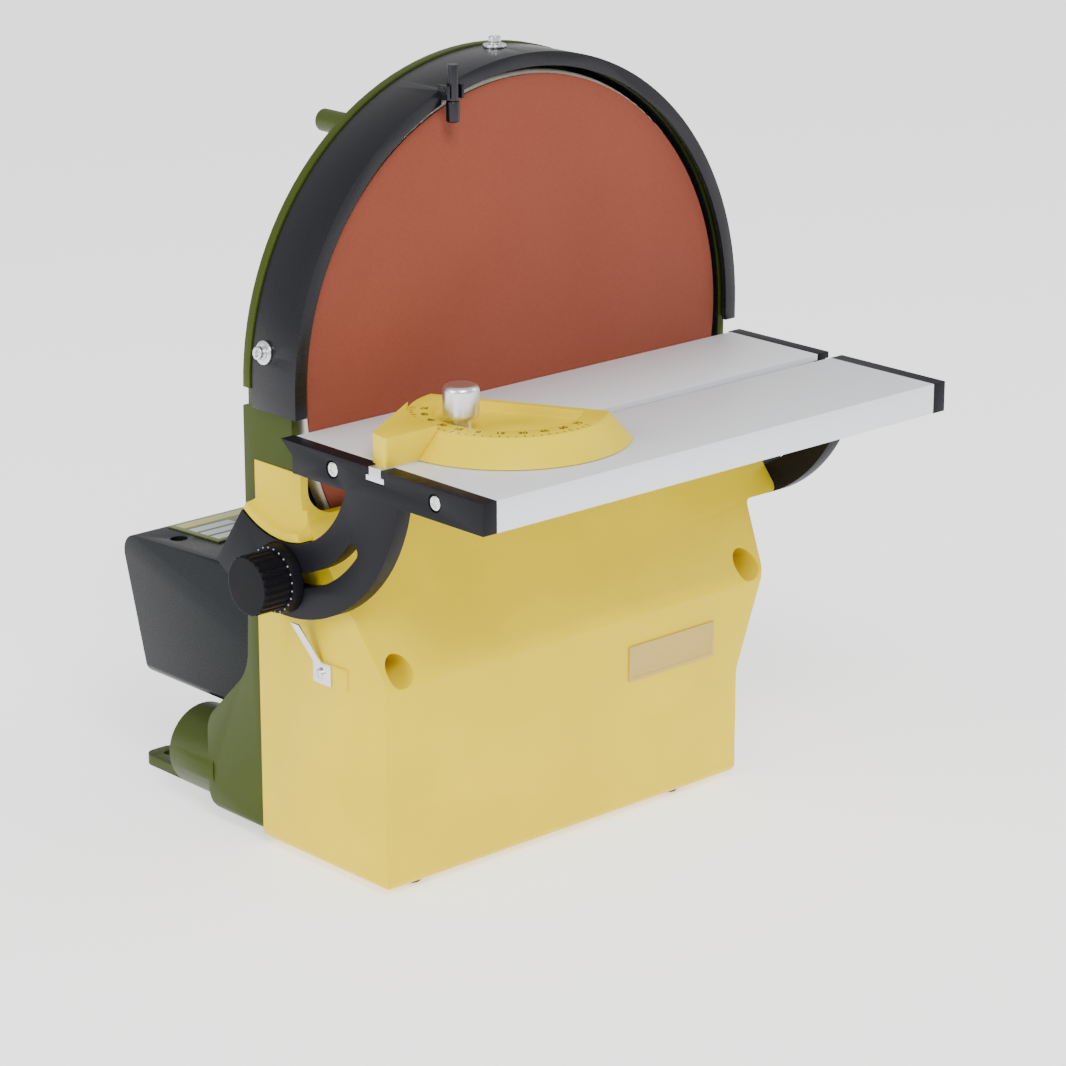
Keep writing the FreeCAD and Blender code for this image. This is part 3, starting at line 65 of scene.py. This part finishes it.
# Front housing
# A yellow moulding that holds the table's two round rails, the switch and the board.
# It is closed at the front and screwed to the rear housing through two deep wells.

def let_go():
    if bpy.context.object and bpy.context.object.mode != "OBJECT":
        bpy.ops.object.mode_set(mode="OBJECT")
    bpy.ops.object.select_all(action="DESELECT")


def take(piece):
    let_go()
    piece.select_set(True)
    bpy.context.view_layer.objects.active = piece


weld_distance = 0.002 * MM
flat_angle = math.radians(0.3)
smooth_angle = math.radians(35)


def copy_of(node, name):
    piece = frame["nodes"][node].copy()
    piece.data = piece.data.copy()
    piece.name = name
    piece.parent = None
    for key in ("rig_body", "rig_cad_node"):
        del piece[key]
    bpy.context.scene.collection.objects.link(piece)
    piece.data.materials.clear()
    take(piece)
    bpy.ops.object.mode_set(mode="EDIT")
    bpy.ops.mesh.select_all(action="SELECT")
    bpy.ops.mesh.remove_doubles(threshold=weld_distance)
    bpy.ops.mesh.dissolve_limited(angle_limit=flat_angle)
    bpy.ops.object.mode_set(mode="OBJECT")
    return piece


def soften(piece, width, segments=2, steepest=32):
    take(piece)
    bpy.ops.object.modifier_add(type="BEVEL")
    bevel = piece.modifiers[-1]
    bevel.width = width * MM
    bevel.segments = segments
    bevel.limit_method = "ANGLE"
    bevel.angle_limit = math.radians(steepest)
    bevel.use_clamp_overlap = True
    bpy.ops.object.modifier_apply(modifier=bevel.name)
    bpy.ops.object.shade_smooth_by_angle(angle=smooth_angle)
    return piece


def hold(piece, material, body):
    piece.data.materials.clear()
    piece.data.materials.append(material)
    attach(piece, body)
    return piece


def plain_finish(name, colour, roughness, metallic=0.0):
    material = bpy.data.materials.new(name)
    material.use_nodes = True
    shader = material.node_tree.nodes["Principled BSDF"]
    shader.inputs["Base Color"].default_value = (*colour, 1)
    shader.inputs["Roughness"].default_value = roughness
    shader.inputs["Metallic"].default_value = metallic
    return material, shader


def step(material, kind, **values):
    node = material.node_tree.nodes.new(kind)
    for name, value in values.items():
        node.inputs[name].default_value = value
    return node


def wire(material, output, socket):
    material.node_tree.links.new(output, socket)


def shades(material, source, dark, light, low=0.3, high=0.7):
    ramp = step(material, "ShaderNodeValToRGB")
    ramp.color_ramp.elements[0].position = low
    ramp.color_ramp.elements[0].color = (*dark, 1)
    ramp.color_ramp.elements[1].position = high
    ramp.color_ramp.elements[1].color = (*light, 1)
    wire(material, source, ramp.inputs["Fac"])
    return ramp.outputs["Color"]


def tint(material, shader, source, dark, light):
    wire(material, shades(material, source, dark, light), shader.inputs["Base Color"])


def spread(material, source, low, high):
    span = step(material, "ShaderNodeMapRange")
    span.inputs["To Min"].default_value = low
    span.inputs["To Max"].default_value = high
    wire(material, source, span.inputs["Value"])
    return span.outputs["Result"]


def wear(material, shader, source, smooth, rough):
    wire(material, spread(material, source, smooth, rough), shader.inputs["Roughness"])


def speckle(material, size, detail=3.0, stretch=(1, 1, 1)):
    place = step(material, "ShaderNodeTexCoord")
    turn = step(material, "ShaderNodeMapping", Scale=stretch)
    noise = step(material, "ShaderNodeTexNoise", Scale=1 / (size * MM), Detail=detail)
    wire(material, place.outputs["Object"], turn.inputs["Vector"])
    wire(material, turn.outputs["Vector"], noise.inputs["Vector"])
    return noise.outputs["Fac"]


def raised(material, shader, source, height, strength=1.0):
    bump = step(material, "ShaderNodeBump", Strength=strength, Distance=height * MM)
    wire(material, source, bump.inputs["Height"])
    wire(material, bump.outputs["Normal"], shader.inputs["Normal"])


def moulded_plastic(name, colour, roughness, grain_size, grain_height, gloss):
    material, shader = plain_finish(name, colour, roughness)
    shader.inputs["Specular IOR Level"].default_value = gloss
    dark = [0.93 * c for c in colour]
    light = [min(1.0, 1.05 * c) for c in colour]
    clouds = speckle(material, size=60, detail=4)
    tint(material, shader, clouds, dark, light)
    skin = speckle(material, grain_size)
    wear(material, shader, skin, roughness - 0.06, roughness + 0.08)
    raised(material, shader, skin, grain_height)
    return material


# The long edges between the front and the flat sides are rounder than all the others
def round_front_edges(piece, side_x, width, lowest, slack=0.02 * MM):
    take(piece)
    mesh = piece.data
    bpy.context.tool_settings.mesh_select_mode = (False, True, False)
    neighbours = {}
    for face in mesh.polygons:
        face.select = False
        for key in face.edge_keys:
            neighbours.setdefault(key, []).append(face.normal)
    for vertex in mesh.vertices:
        vertex.select = False
    for edge in mesh.edges:
        ends = [mesh.vertices[i].co for i in edge.vertices]
        on_side = all(abs(abs(end.x) - side_x) < slack and end.z > lowest for end in ends)
        normals = neighbours[edge.key]
        sideways = any(abs(normal.x) > 0.99 for normal in normals)
        forward = any(normal.y < -0.5 and abs(normal.x) < 0.1 for normal in normals)
        edge.select = on_side and sideways and forward
    bpy.ops.object.mode_set(mode="EDIT")
    bpy.ops.mesh.bevel(offset=width * MM, segments=5, clamp_overlap=True)
    bpy.ops.object.mode_set(mode="OBJECT")


yellow_plastic = moulded_plastic("yellow_plastic", (0.75, 0.555, 0.0), roughness=0.38,
                                 grain_size=0.7, grain_height=0.015, gloss=0.12)
yellow_housing = copy_of("front_housing", "yellow_housing")
housing_half_width = 133.5 * MM
front_edge_round = 2.6
bottom_edge = 10 * MM
round_front_edges(yellow_housing, housing_half_width, front_edge_round, bottom_edge)
soften(yellow_housing, width=0.9, segments=3)
hold(yellow_housing, yellow_plastic, "stand")
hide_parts("front_housing")


# Front feet
# Two small rubber feet pressed into holes under the front housing.
# They lift its floor just clear of the bench.

def rounded_node(node, name, width, material, body, segments=2):
    piece = soften(copy_of(node, name), width, segments)
    hold(piece, material, body)
    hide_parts(node)
    return piece


def rubber(name, colour):
    material, shader = plain_finish(name, colour, roughness=0.75)
    skin = speckle(material, size=0.5)
    wear(material, shader, skin, smooth=0.65, rough=0.9)
    raised(material, shader, skin, height=0.03)
    return material


black_rubber = rubber("black_rubber", (0.02, 0.02, 0.02))
rounded_node("front_feet", "rubber_feet", 0.3, black_rubber, "stand")


# Name plate
# A thin bare plate glued to the front, with a raised rim round a sunk field.

def faces_of(piece, test):
    bpy.ops.object.mode_set(mode="OBJECT")
    bpy.context.tool_settings.mesh_select_mode = (False, False, True)
    for vertex in piece.data.vertices:
        vertex.select = False
    for edge in piece.data.edges:
        edge.select = False
    for face in piece.data.polygons:
        face.select = test(face.center, face.normal)
    bpy.ops.object.mode_set(mode="EDIT")


def block(name, low, high):
    let_go()
    bpy.ops.mesh.primitive_cube_add(size=1)
    piece = bpy.context.object
    piece.name = name
    middle = (Vector(low) + Vector(high)) / 2
    piece.scale = Vector(high) - Vector(low)
    piece.location = middle
    bpy.ops.object.transform_apply(location=True, rotation=True, scale=True)
    return piece


plate_material, plate_shader = plain_finish("tan_plate", (0.50, 0.33, 0.06), roughness=0.32)
plate_skin = speckle(plate_material, size=0.6, detail=2, stretch=(1, 1, 12))
tint(plate_material, plate_shader, plate_skin, (0.46, 0.30, 0.05), (0.56, 0.38, 0.08))
raised(plate_material, plate_shader, plate_skin, height=0.01)
plate_rim = 1.6 * MM
plate_step = 0.2 * MM
plate_sink = 0.3 * MM
name_plate = block("bare_plate", *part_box("name_plate"))
faces_of(name_plate, lambda centre, normal: normal.y < -0.9)
bpy.ops.mesh.inset(thickness=plate_rim)
bpy.ops.mesh.inset(thickness=plate_step, depth=-plate_sink)
soften(name_plate, width=0.2)
hold(name_plate, plate_material, "stand")
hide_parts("name_plate")


# Rear housing
# A green moulding: the ring behind the guard, a column, the foot with its dust port,
# and two bench lugs. It carries the spindle bearings and the motor.

green_plastic = moulded_plastic("green_plastic", (0.038, 0.055, 0.003), roughness=0.42,
                                grain_size=0.8, grain_height=0.02, gloss=0.16)
green_housing = rounded_node("rear_housing", "green_housing", 0.7, green_plastic, "stand")
rounded_node("bearing_cap", "green_bearing_cap", 0.4, green_plastic, "stand")


# Housing screws
# Two plated socket screws sunk in the front wells, holding the two housings together.

def plated_steel(name, colour, roughness):
    material, shader = plain_finish(name, colour, roughness, metallic=1.0)
    cloud = speckle(material, size=2.5, detail=4)
    wear(material, shader, cloud, roughness - 0.05, roughness + 0.12)
    raised(material, shader, speckle(material, size=0.25, detail=2), height=0.003)
    return material


bright_zinc = plated_steel("bright_zinc", (0.74, 0.75, 0.77), roughness=0.24)
rounded_node("housing_screws", "housing_socket_screws", 0.25, bright_zinc, "stand")


# Spindle, bearings and pulleys
# Turned steel shafts in two ball bearings, with aluminium ribbed pulleys on their ends.
# They sit inside the housings, with one ribbed belt round both pulleys.

def dress(node, material):
    finishes = frame["nodes"][node].data.materials
    finishes.clear()
    finishes.append(material)


def turned_metal(name, colour, roughness):
    material, shader = plain_finish(name, colour, roughness, metallic=1.0)
    rings = speckle(material, size=1.2, detail=2, stretch=(0.05, 4, 0.05))
    wear(material, shader, rings, roughness - 0.05, roughness + 0.12)
    raised(material, shader, rings, height=0.006)
    return material


turned_steel = turned_metal("turned_steel", (0.55, 0.56, 0.58), roughness=0.3)
turned_aluminium = turned_metal("turned_aluminium", (0.80, 0.81, 0.82), roughness=0.33)
inner_pieces = {
    "spindle": turned_steel,
    "disc_screws": bright_zinc,
    "spindle_pulley": turned_aluminium,
    "front_bearing": turned_steel,
    "rear_bearing": turned_steel,
    "motor_pulley": turned_aluminium,
    "motor_shaft": turned_steel,
    "motor_body": turned_steel,
    "motor_screws": bright_zinc,
    "drive_belt": black_rubber,
}
for node, material in inner_pieces.items():
    dress(node, material)


# Motor cover with its saddle and screws
# A dark satin moulding over the motor, held by two screws that reach the saddle's posts.

black_plastic = moulded_plastic("black_plastic", (0.009, 0.009, 0.012), roughness=0.42,
                                grain_size=0.6, grain_height=0.03, gloss=0.2)
cover_plastic = moulded_plastic("cover_plastic", (0.006, 0.008, 0.010), roughness=0.26,
                                grain_size=0.9, grain_height=0.006, gloss=0.12)
rounded_node("motor_cover", "dark_motor_cover", 1.2, cover_plastic, "stand", 3)
rounded_node("motor_saddle", "motor_saddle_ring", 0.4, black_plastic, "stand")
rounded_node("cover_screws", "cover_pan_screws", 0.25, bright_zinc, "stand")


# Rating label
# A thin printed sticker on the cover's top: a pale heading bar over rows of plain blocks.
# The blocks carry no words.

label_low, label_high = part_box("rating_label")
label_size = label_high - label_low
label_material, label_shader = plain_finish("label_film", (0.11, 0.14, 0.04), roughness=0.3)
label_skin = speckle(label_material, size=0.8)
tint(label_material, label_shader, label_skin, (0.10, 0.13, 0.035), (0.125, 0.155, 0.045))
raised(label_material, label_shader, label_skin, height=0.008)
rounded_node("rating_label", "label_sticker", 0.1, label_material, "stand")
label_print = {
    "heading": ((0.52, 0.50, 0.18), [(0.03, 0.97, 0.76, 0.95)]),
    "rows": ((0.50, 0.54, 0.60), [(0.03, 0.30, 0.52, 0.68), (0.36, 0.97, 0.52, 0.68),
                                  (0.03, 0.30, 0.30, 0.46), (0.36, 0.80, 0.30, 0.46),
                                  (0.03, 0.30, 0.08, 0.24), (0.36, 0.66, 0.08, 0.24)]),
}
print_height = 0.06 * MM
print_edge = 0.03
label_thickness = 0.8 * MM
label_slope = (label_low.z - label_high.z + label_thickness) / label_size.y
for kind, (colour, fields) in label_print.items():
    ink, ink_shader = plain_finish("label_" + kind, colour, roughness=0.35)
    ink_skin = speckle(ink, size=0.7)
    tint(ink, ink_shader, ink_skin, [0.92 * c for c in colour], colour)
    for i, (x0, x1, y0, y1) in enumerate(fields):
        x_low = label_low.x + x0 * label_size.x
        x_high = label_low.x + x1 * label_size.x
        y_low = label_low.y + y0 * label_size.y
        y_high = label_low.y + y1 * label_size.y
        z_high = label_high.z + (y_low - label_low.y) * label_slope
        field = block("label_%s_%d" % (kind, i), (x_low, y_low, z_high - print_height),
                      (x_high, y_high, z_high + print_height))
        for vertex in field.data.vertices:
            vertex.co.z += (vertex.co.y - y_low) * label_slope
        soften(field, print_edge)
        hold(field, ink, "stand")


# Disc plate
# A turned aluminium disc on the spindle's flange. Its rounded rim shows as a pale line
# round the sheet.

pale_rim, pale_shader = plain_finish("pale_disc_metal", (0.80, 0.77, 0.67), roughness=0.42, metallic=0.25)
pale_rings = speckle(pale_rim, size=1.0, detail=2, stretch=(0.05, 4, 0.05))
tint(pale_rim, pale_shader, pale_rings, (0.76, 0.73, 0.63), (0.84, 0.81, 0.71))
wear(pale_rim, pale_shader, pale_rings, smooth=0.36, rough=0.5)
raised(pale_rim, pale_shader, pale_rings, height=0.004)
rounded_node("disc_plate", "disc_backing", 0.2, pale_rim, "disc")


# Abrasive sheet
# A stuck-on paper disc with red-brown grit, nearly even in colour, with a very fine grain.

grit, grit_shader = plain_finish("red_brown_grit", (0.235, 0.058, 0.033), roughness=0.85)
grit_clouds = speckle(grit, size=60, detail=3)
grit_grain = speckle(grit, size=0.55, detail=2)
grit_tone = step(grit, "ShaderNodeMix")
grit_tone.data_type = "RGBA"
grit_tone.blend_type = "MULTIPLY"
grit_tone.inputs["Factor"].default_value = 0.55
wire(grit, shades(grit, grit_clouds, (0.228, 0.056, 0.032), (0.245, 0.062, 0.036)), grit_tone.inputs["A"])
wire(grit, shades(grit, grit_grain, (0.76, 0.72, 0.70), (1, 1, 1)), grit_tone.inputs["B"])
wire(grit, grit_tone.outputs["Result"], grit_shader.inputs["Base Color"])
raised(grit, grit_shader, grit_grain, height=0.08, strength=0.6)
grit_shader.inputs["Specular IOR Level"].default_value = 0.2
rounded_node("abrasive_sheet", "grit_sheet", 0.15, grit, "disc")


# Disc guard
# A black band round the rear housing's ring with a lip that turns in over the disc's rim.

guard_black = moulded_plastic("guard_black", (0.006, 0.006, 0.009), roughness=0.28,
                              grain_size=0.7, grain_height=0.008, gloss=0.25)
rounded_node("disc_guard", "black_guard", 0.6, guard_black, "stand", 3)


# The housing's ring behind the lip is painted black on its inside and its front: painted shade for the
# dark gap between the guard's lip and the disc
def darken_ring(piece, material, centre, inner, outer, rear_y):
    piece.data.materials.append(material)
    for face in piece.data.polygons:
        across = Vector((face.center.x, 0, max(0, face.center.z - centre.z)))
        in_ring = inner < across.length < outer and face.center.y < rear_y
        inward = face.normal.dot(across) < -0.5 * across.length
        if in_ring and (inward or face.normal.y < -0.9):
            face.material_index = 1


disc_low, disc_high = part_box("disc_plate")
guard_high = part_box("disc_guard")[1]
disc_centre = (disc_low + disc_high) / 2
darken_ring(green_housing, guard_black, disc_centre, disc_high.x, guard_high.x, guard_high.y)
rounded_node("guard_washers", "guard_stepped_washers", 0.25, bright_zinc, "stand")
rounded_node("guard_screws", "guard_socket_screws", 0.3, bright_zinc, "stand")


# Brake lever
# A black rod on a pin between two ears of the guard. Its thicker tip presses on the disc.

dark_steel = plated_steel("dark_steel", (0.035, 0.035, 0.04), roughness=0.32)
rounded_node("brake_lever", "brake_rod", 0.7, dark_steel, "brake", 4)
rounded_node("brake_pin", "brake_cross_pin", 0.2, dark_steel, "stand")


# Table plate
# An anodised aluminium extrusion with a T-slot, satin, with fine lines along its length.

satin, satin_shader = plain_finish("satin_aluminium", (0.78, 0.80, 0.83), roughness=0.44, metallic=0.3)
satin_lines = speckle(satin, size=1.0, detail=2, stretch=(0.03, 2, 2))
wear(satin, satin_shader, satin_lines, smooth=0.5, rough=0.56)
tint(satin, satin_shader, satin_lines, (0.76, 0.78, 0.81), (0.78, 0.80, 0.83))
raised(satin, satin_shader, satin_lines, height=0.001)
rounded_node("table_plate", "table_extrusion", 0.4, satin, "table")


# Table brackets
# Black mouldings on the table's ends: a cap strip and a slotted sector that swings in
# the housing's rails. Each has a fine grained skin.

bracket_plastic = moulded_plastic("bracket_plastic", (0.006, 0.006, 0.009), roughness=0.46,
                                  grain_size=0.45, grain_height=0.04, gloss=0.13)
for side in ("left", "right"):
    node = side + "_table_bracket"
    rounded_node(node, side + "_end_bracket", 0.5, bracket_plastic, "table", 3)


# Table screws
# Four plated screws with a cross recess, sunk in the brackets and driven into the table.

crown_inset = 0.25
crown_rise = 0.25
recess_reach = 0.62
recess_half_width = 0.13
recess_floor = 0.1
recess_turns = (20, 110)


def cross_screw(name, centre, outward, radius, height, material, body):
    let_go()
    bpy.ops.mesh.primitive_cylinder_add(vertices=48, radius=radius, depth=height, end_fill_type="NGON")
    piece = bpy.context.object
    piece.name = name
    faces_of(piece, lambda middle, normal: normal.z > 0.9)
    bpy.ops.mesh.inset(thickness=crown_inset * radius)
    bpy.ops.transform.translate(value=(0, 0, crown_rise * height))
    bpy.ops.object.mode_set(mode="OBJECT")
    reach = recess_reach * radius
    half_width = recess_half_width * radius
    for angle in recess_turns:
        cut = block("cut", (-reach, -half_width, recess_floor * height), (reach, half_width, height))
        cut.data.transform(Matrix.Rotation(math.radians(angle), 4, "Z"))
        take(piece)
        bpy.ops.object.modifier_add(type="BOOLEAN")
        boolean = piece.modifiers[-1]
        boolean.operation = "DIFFERENCE"
        boolean.solver = "EXACT"
        boolean.object = cut
        bpy.ops.object.modifier_apply(modifier=boolean.name)
        bpy.data.objects.remove(cut)
    soften(piece, width=0.08, steepest=50)
    turn = Vector((0, 0, 1)).rotation_difference(Vector(outward)).to_matrix().to_4x4()
    piece.data.transform(Matrix.Translation(Vector(centre)) @ turn)
    hold(piece, material, body)
    return piece


dress("table_screws", bright_zinc)
screw_low, screw_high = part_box("table_screws")
screw_head_radius = 3.2 * MM
screw_head_height = 1.0 * MM
screw_ys = (screw_low.y + screw_head_radius, screw_high.y - screw_head_radius)
screw_z = (screw_low.z + screw_high.z) / 2
for i, y in enumerate(screw_ys):
    for side, x, out in (("left", screw_low.x, -1), ("right", screw_high.x, 1)):
        cross_screw("%s_cross_screw_%d" % (side, i), (x, y, screw_z), (out, 0, 0),
                    screw_head_radius, screw_head_height, bright_zinc, "table")


# Clamp studs and knobs
# Two steel studs in the housing's bosses. Black fluted knobs on them clamp the sectors.

def join_all(pieces, name):
    take(pieces[0])
    for piece in pieces:
        piece.select_set(True)
    bpy.ops.object.join()
    pieces[0].name = name
    return pieces[0]


dress("clamp_studs", bright_zinc)
knob_plastic = moulded_plastic("knob_plastic", (0.004, 0.004, 0.006), roughness=0.44,
                               grain_size=0.5, grain_height=0.04, gloss=0.08)
# Each knob's skirt carries a ring of small pips coloured pale grey: the grey is painted highlight, for the
# glints at the ends of the flutes
pip_highlight_paint, pip_highlight_shader = plain_finish("painted_highlight_pip", (0.30, 0.30, 0.33), roughness=0.25)
pip_skin = speckle(pip_highlight_paint, size=0.6)
wear(pip_highlight_paint, pip_highlight_shader, pip_skin, smooth=0.2, rough=0.35)
pip_count = 24
pip_radius = 0.45 * MM
pip_circle = 14.4 * MM
skirt_length = 5.0 * MM
for side, out in (("left", -1), ("right", 1)):
    node = side + "_clamp_knob"
    low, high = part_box(node)
    rounded_node(node, side + "_fluted_knob", 0.35, knob_plastic, side + "_knob")
    centre_y = (low.y + high.y) / 2
    centre_z = (low.z + high.z) / 2
    base_x = high.x if out < 0 else low.x
    skirt_x = base_x + out * skirt_length
    pips = []
    for i in range(pip_count):
        angle = 2 * math.pi * (i + 0.5) / pip_count
        let_go()
        pip_y = centre_y + pip_circle * math.cos(angle)
        pip_z = centre_z + pip_circle * math.sin(angle)
        bpy.ops.mesh.primitive_uv_sphere_add(segments=8, ring_count=6, radius=pip_radius,
                                             location=(skirt_x, pip_y, pip_z))
        bpy.ops.object.transform_apply(location=True, rotation=True, scale=True)
        pips.append(bpy.context.object)
    ring_of_highlight_pips = join_all(pips, side + "_painted_highlight_pips")
    bpy.ops.object.shade_smooth()
    hold(ring_of_highlight_pips, pip_highlight_paint, side + "_knob")


# Angle pointer
# A bent strip of bright steel under one cross-recess screw. Its tip reads the sector's edge.

rounded_node("angle_pointer", "pointer_strip", 0.2, bright_zinc, "stand")
dress("pointer_screw", bright_zinc)
pointer_low, pointer_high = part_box("pointer_screw")
pointer_centre = (pointer_low + pointer_high) / 2
pointer_head_sink = 0.4 * MM
pointer_head_radius = 2.3 * MM
pointer_head_height = 1.0 * MM
pointer_head_place = (pointer_low.x + pointer_head_sink, pointer_centre.y, pointer_centre.z)
cross_screw("pointer_cross_screw", pointer_head_place, (-1, 0, 0),
            pointer_head_radius, pointer_head_height, bright_zinc, "stand")


# Power switch, speed dial and cable gland
# Black mouldings on the housing's right side: a bezel with a rocker, a ridged dial,
# and a gland for the lead in the rear wall.

rounded_node("switch_bezel", "switch_frame", 0.4, black_plastic, "stand")
rounded_node("switch_rocker", "rocker_key", 0.5, knob_plastic, "rocker")
rounded_node("speed_dial", "ridged_dial", 0.25, knob_plastic, "dial")
rounded_node("cable_gland", "lead_gland", 0.4, black_plastic, "stand")
dress("speed_control", black_plastic)
board_green = moulded_plastic("board_resin", (0.03, 0.12, 0.04), roughness=0.35,
                              grain_size=0.4, grain_height=0.01, gloss=0.4)
dress("control_board", board_green)


# Mitre bar, stud and pin
# A drawn light-metal T-bar that slides in the table's slot, with the two pins of the head.

drawn_metal = turned_metal("drawn_metal", (0.74, 0.76, 0.78), roughness=0.34)
rounded_node("mitre_bar", "mitre_t_bar", 0.3, drawn_metal, "mitre_slider")
for node in ("mitre_stud", "mitre_pin"):
    dress(node, bright_zinc)


# Mitre nose and head
# Two yellow mouldings. The nose stays on the bar and carries the reading edge.
# The half-round head swivels against it, with a degree scale round its sunk middle.

mitre_yellow = moulded_plastic("mitre_yellow", (0.82, 0.61, 0.0), roughness=0.34,
                               grain_size=0.6, grain_height=0.015, gloss=0.2)
rounded_node("mitre_nose", "yellow_nose", 0.8, mitre_yellow, "mitre_slider", 3)
rounded_node("mitre_head", "yellow_head", 0.7, mitre_yellow, "mitre_swivel", 3)
scale_ink, scale_shader = plain_finish("scale_ink", (0.06, 0.045, 0.01), roughness=0.5)
scale_skin = speckle(scale_ink, size=0.5)
tint(scale_ink, scale_shader, scale_skin, (0.045, 0.034, 0.008), (0.08, 0.06, 0.014))
pin_low, pin_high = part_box("mitre_pin")
pivot = Vector(((pin_low.x + pin_high.x) / 2, (pin_low.y + pin_high.y) / 2, 0))
head_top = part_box("mitre_head")[1].z
head_swivel = math.radians(27.8)
tick_outer = 42.6 * MM
short_tick_inner = 41.0 * MM
long_tick_inner = 40.0 * MM
scale_end = 75
short_step = 5
long_step = 15
scale_middle = 180
digit_radius = 36.6 * MM
digit_size = 4.2 * MM
digit_weight = 0.09 * MM
tick_half_width = 0.22 * MM
mark_height = 0.08 * MM
marks = []


def place_on_scale(piece, degrees):
    around = Matrix.Rotation(head_swivel + math.radians(degrees), 4, "Z")
    lift = Matrix.Translation(pivot + Vector((0, 0, head_top)))
    piece.data.transform(lift @ around)
    marks.append(piece)


for degrees in range(-scale_end, scale_end + 1, short_step):
    inner = short_tick_inner if degrees % long_step else long_tick_inner
    tick = block("tick", (inner, -tick_half_width, -mark_height),
                 (tick_outer, tick_half_width, mark_height))
    place_on_scale(tick, scale_middle + degrees)
for degrees in range(-scale_end, scale_end + 1, long_step):
    let_go()
    bpy.ops.object.text_add()
    digit = bpy.context.object
    digit.data.body = str(abs(degrees))
    digit.data.size = digit_size
    digit.data.align_x = "CENTER"
    digit.data.align_y = "CENTER"
    digit.data.extrude = mark_height
    digit.data.offset = digit_weight
    bpy.ops.object.convert(target="MESH")
    upright = Matrix.Rotation(math.radians(90), 4, "Z")
    digit.data.transform(Matrix.Translation((digit_radius, 0, 0)) @ upright)
    place_on_scale(digit, scale_middle + degrees)
hold(join_all(marks, "degree_scale"), scale_ink, "mitre_swivel")


# Mitre thumb knob
# A smooth turned nut with a rounded top, a neck and a washer. It clamps the head.

satin_nickel, nickel_shader = plain_finish("satin_nickel", (0.76, 0.77, 0.79), roughness=0.3, metallic=1.0)
nickel_rings = speckle(satin_nickel, size=1.5, detail=2, stretch=(0.05, 0.05, 3))
wear(satin_nickel, nickel_shader, nickel_rings, smooth=0.26, rough=0.36)
raised(satin_nickel, nickel_shader, nickel_rings, height=0.001)
rounded_node("mitre_thumb_knob", "thumb_nut", 0.25, satin_nickel, "mitre_knob", 3)


# Floor, light and camera
# A plain pale floor under soft studio light, seen from the photograph's angle.

floor_size = 40
floor_glow = 1.0
studio_glow = 0.8
target = Vector((0, 0, 0.17))
let_go()
bpy.ops.mesh.primitive_plane_add(size=floor_size)
floor = bpy.context.object
floor.name = "floor"
floor_material, floor_shader = plain_finish("pale_floor", (0.93, 0.93, 0.93), roughness=0.7)
floor_shader.inputs["Emission Color"].default_value = (1, 1, 1, 1)
floor_shader.inputs["Emission Strength"].default_value = floor_glow
floor.data.materials.append(floor_material)

world = bpy.context.scene.world or bpy.data.worlds.new("studio")
bpy.context.scene.world = world
world.use_nodes = True
studio = world.node_tree.nodes["Background"]
studio.inputs["Color"].default_value = (1, 1, 1, 1)
studio.inputs["Strength"].default_value = studio_glow


def soft_light(name, place, size, power):
    light = bpy.data.lights.new(name, "AREA")
    light.shape = "DISK"
    light.size = size
    light.energy = power
    lamp = bpy.data.objects.new(name, light)
    lamp.location = place
    lamp.rotation_euler = (target - Vector(place)).to_track_quat("-Z", "Y").to_euler()
    bpy.context.scene.collection.objects.link(lamp)


soft_light("key_light", (-0.9, -1.6, 1.9), size=1.0, power=44)
soft_light("left_light", (-1.8, 0.2, 1.0), size=1.0, power=18)
soft_light("right_light", (1.6, -0.9, 1.2), size=1.2, power=10)

camera = bpy.data.objects.new("camera", bpy.data.cameras.new("camera"))
camera.data.sensor_width = 36
camera.data.lens = 118.7
camera.location = (-1.0461, -1.1575, 0.6205)
camera.rotation_euler = (math.radians(72.37), 0, math.radians(-42.49))
bpy.context.scene.collection.objects.link(camera)
bpy.context.scene.camera = camera
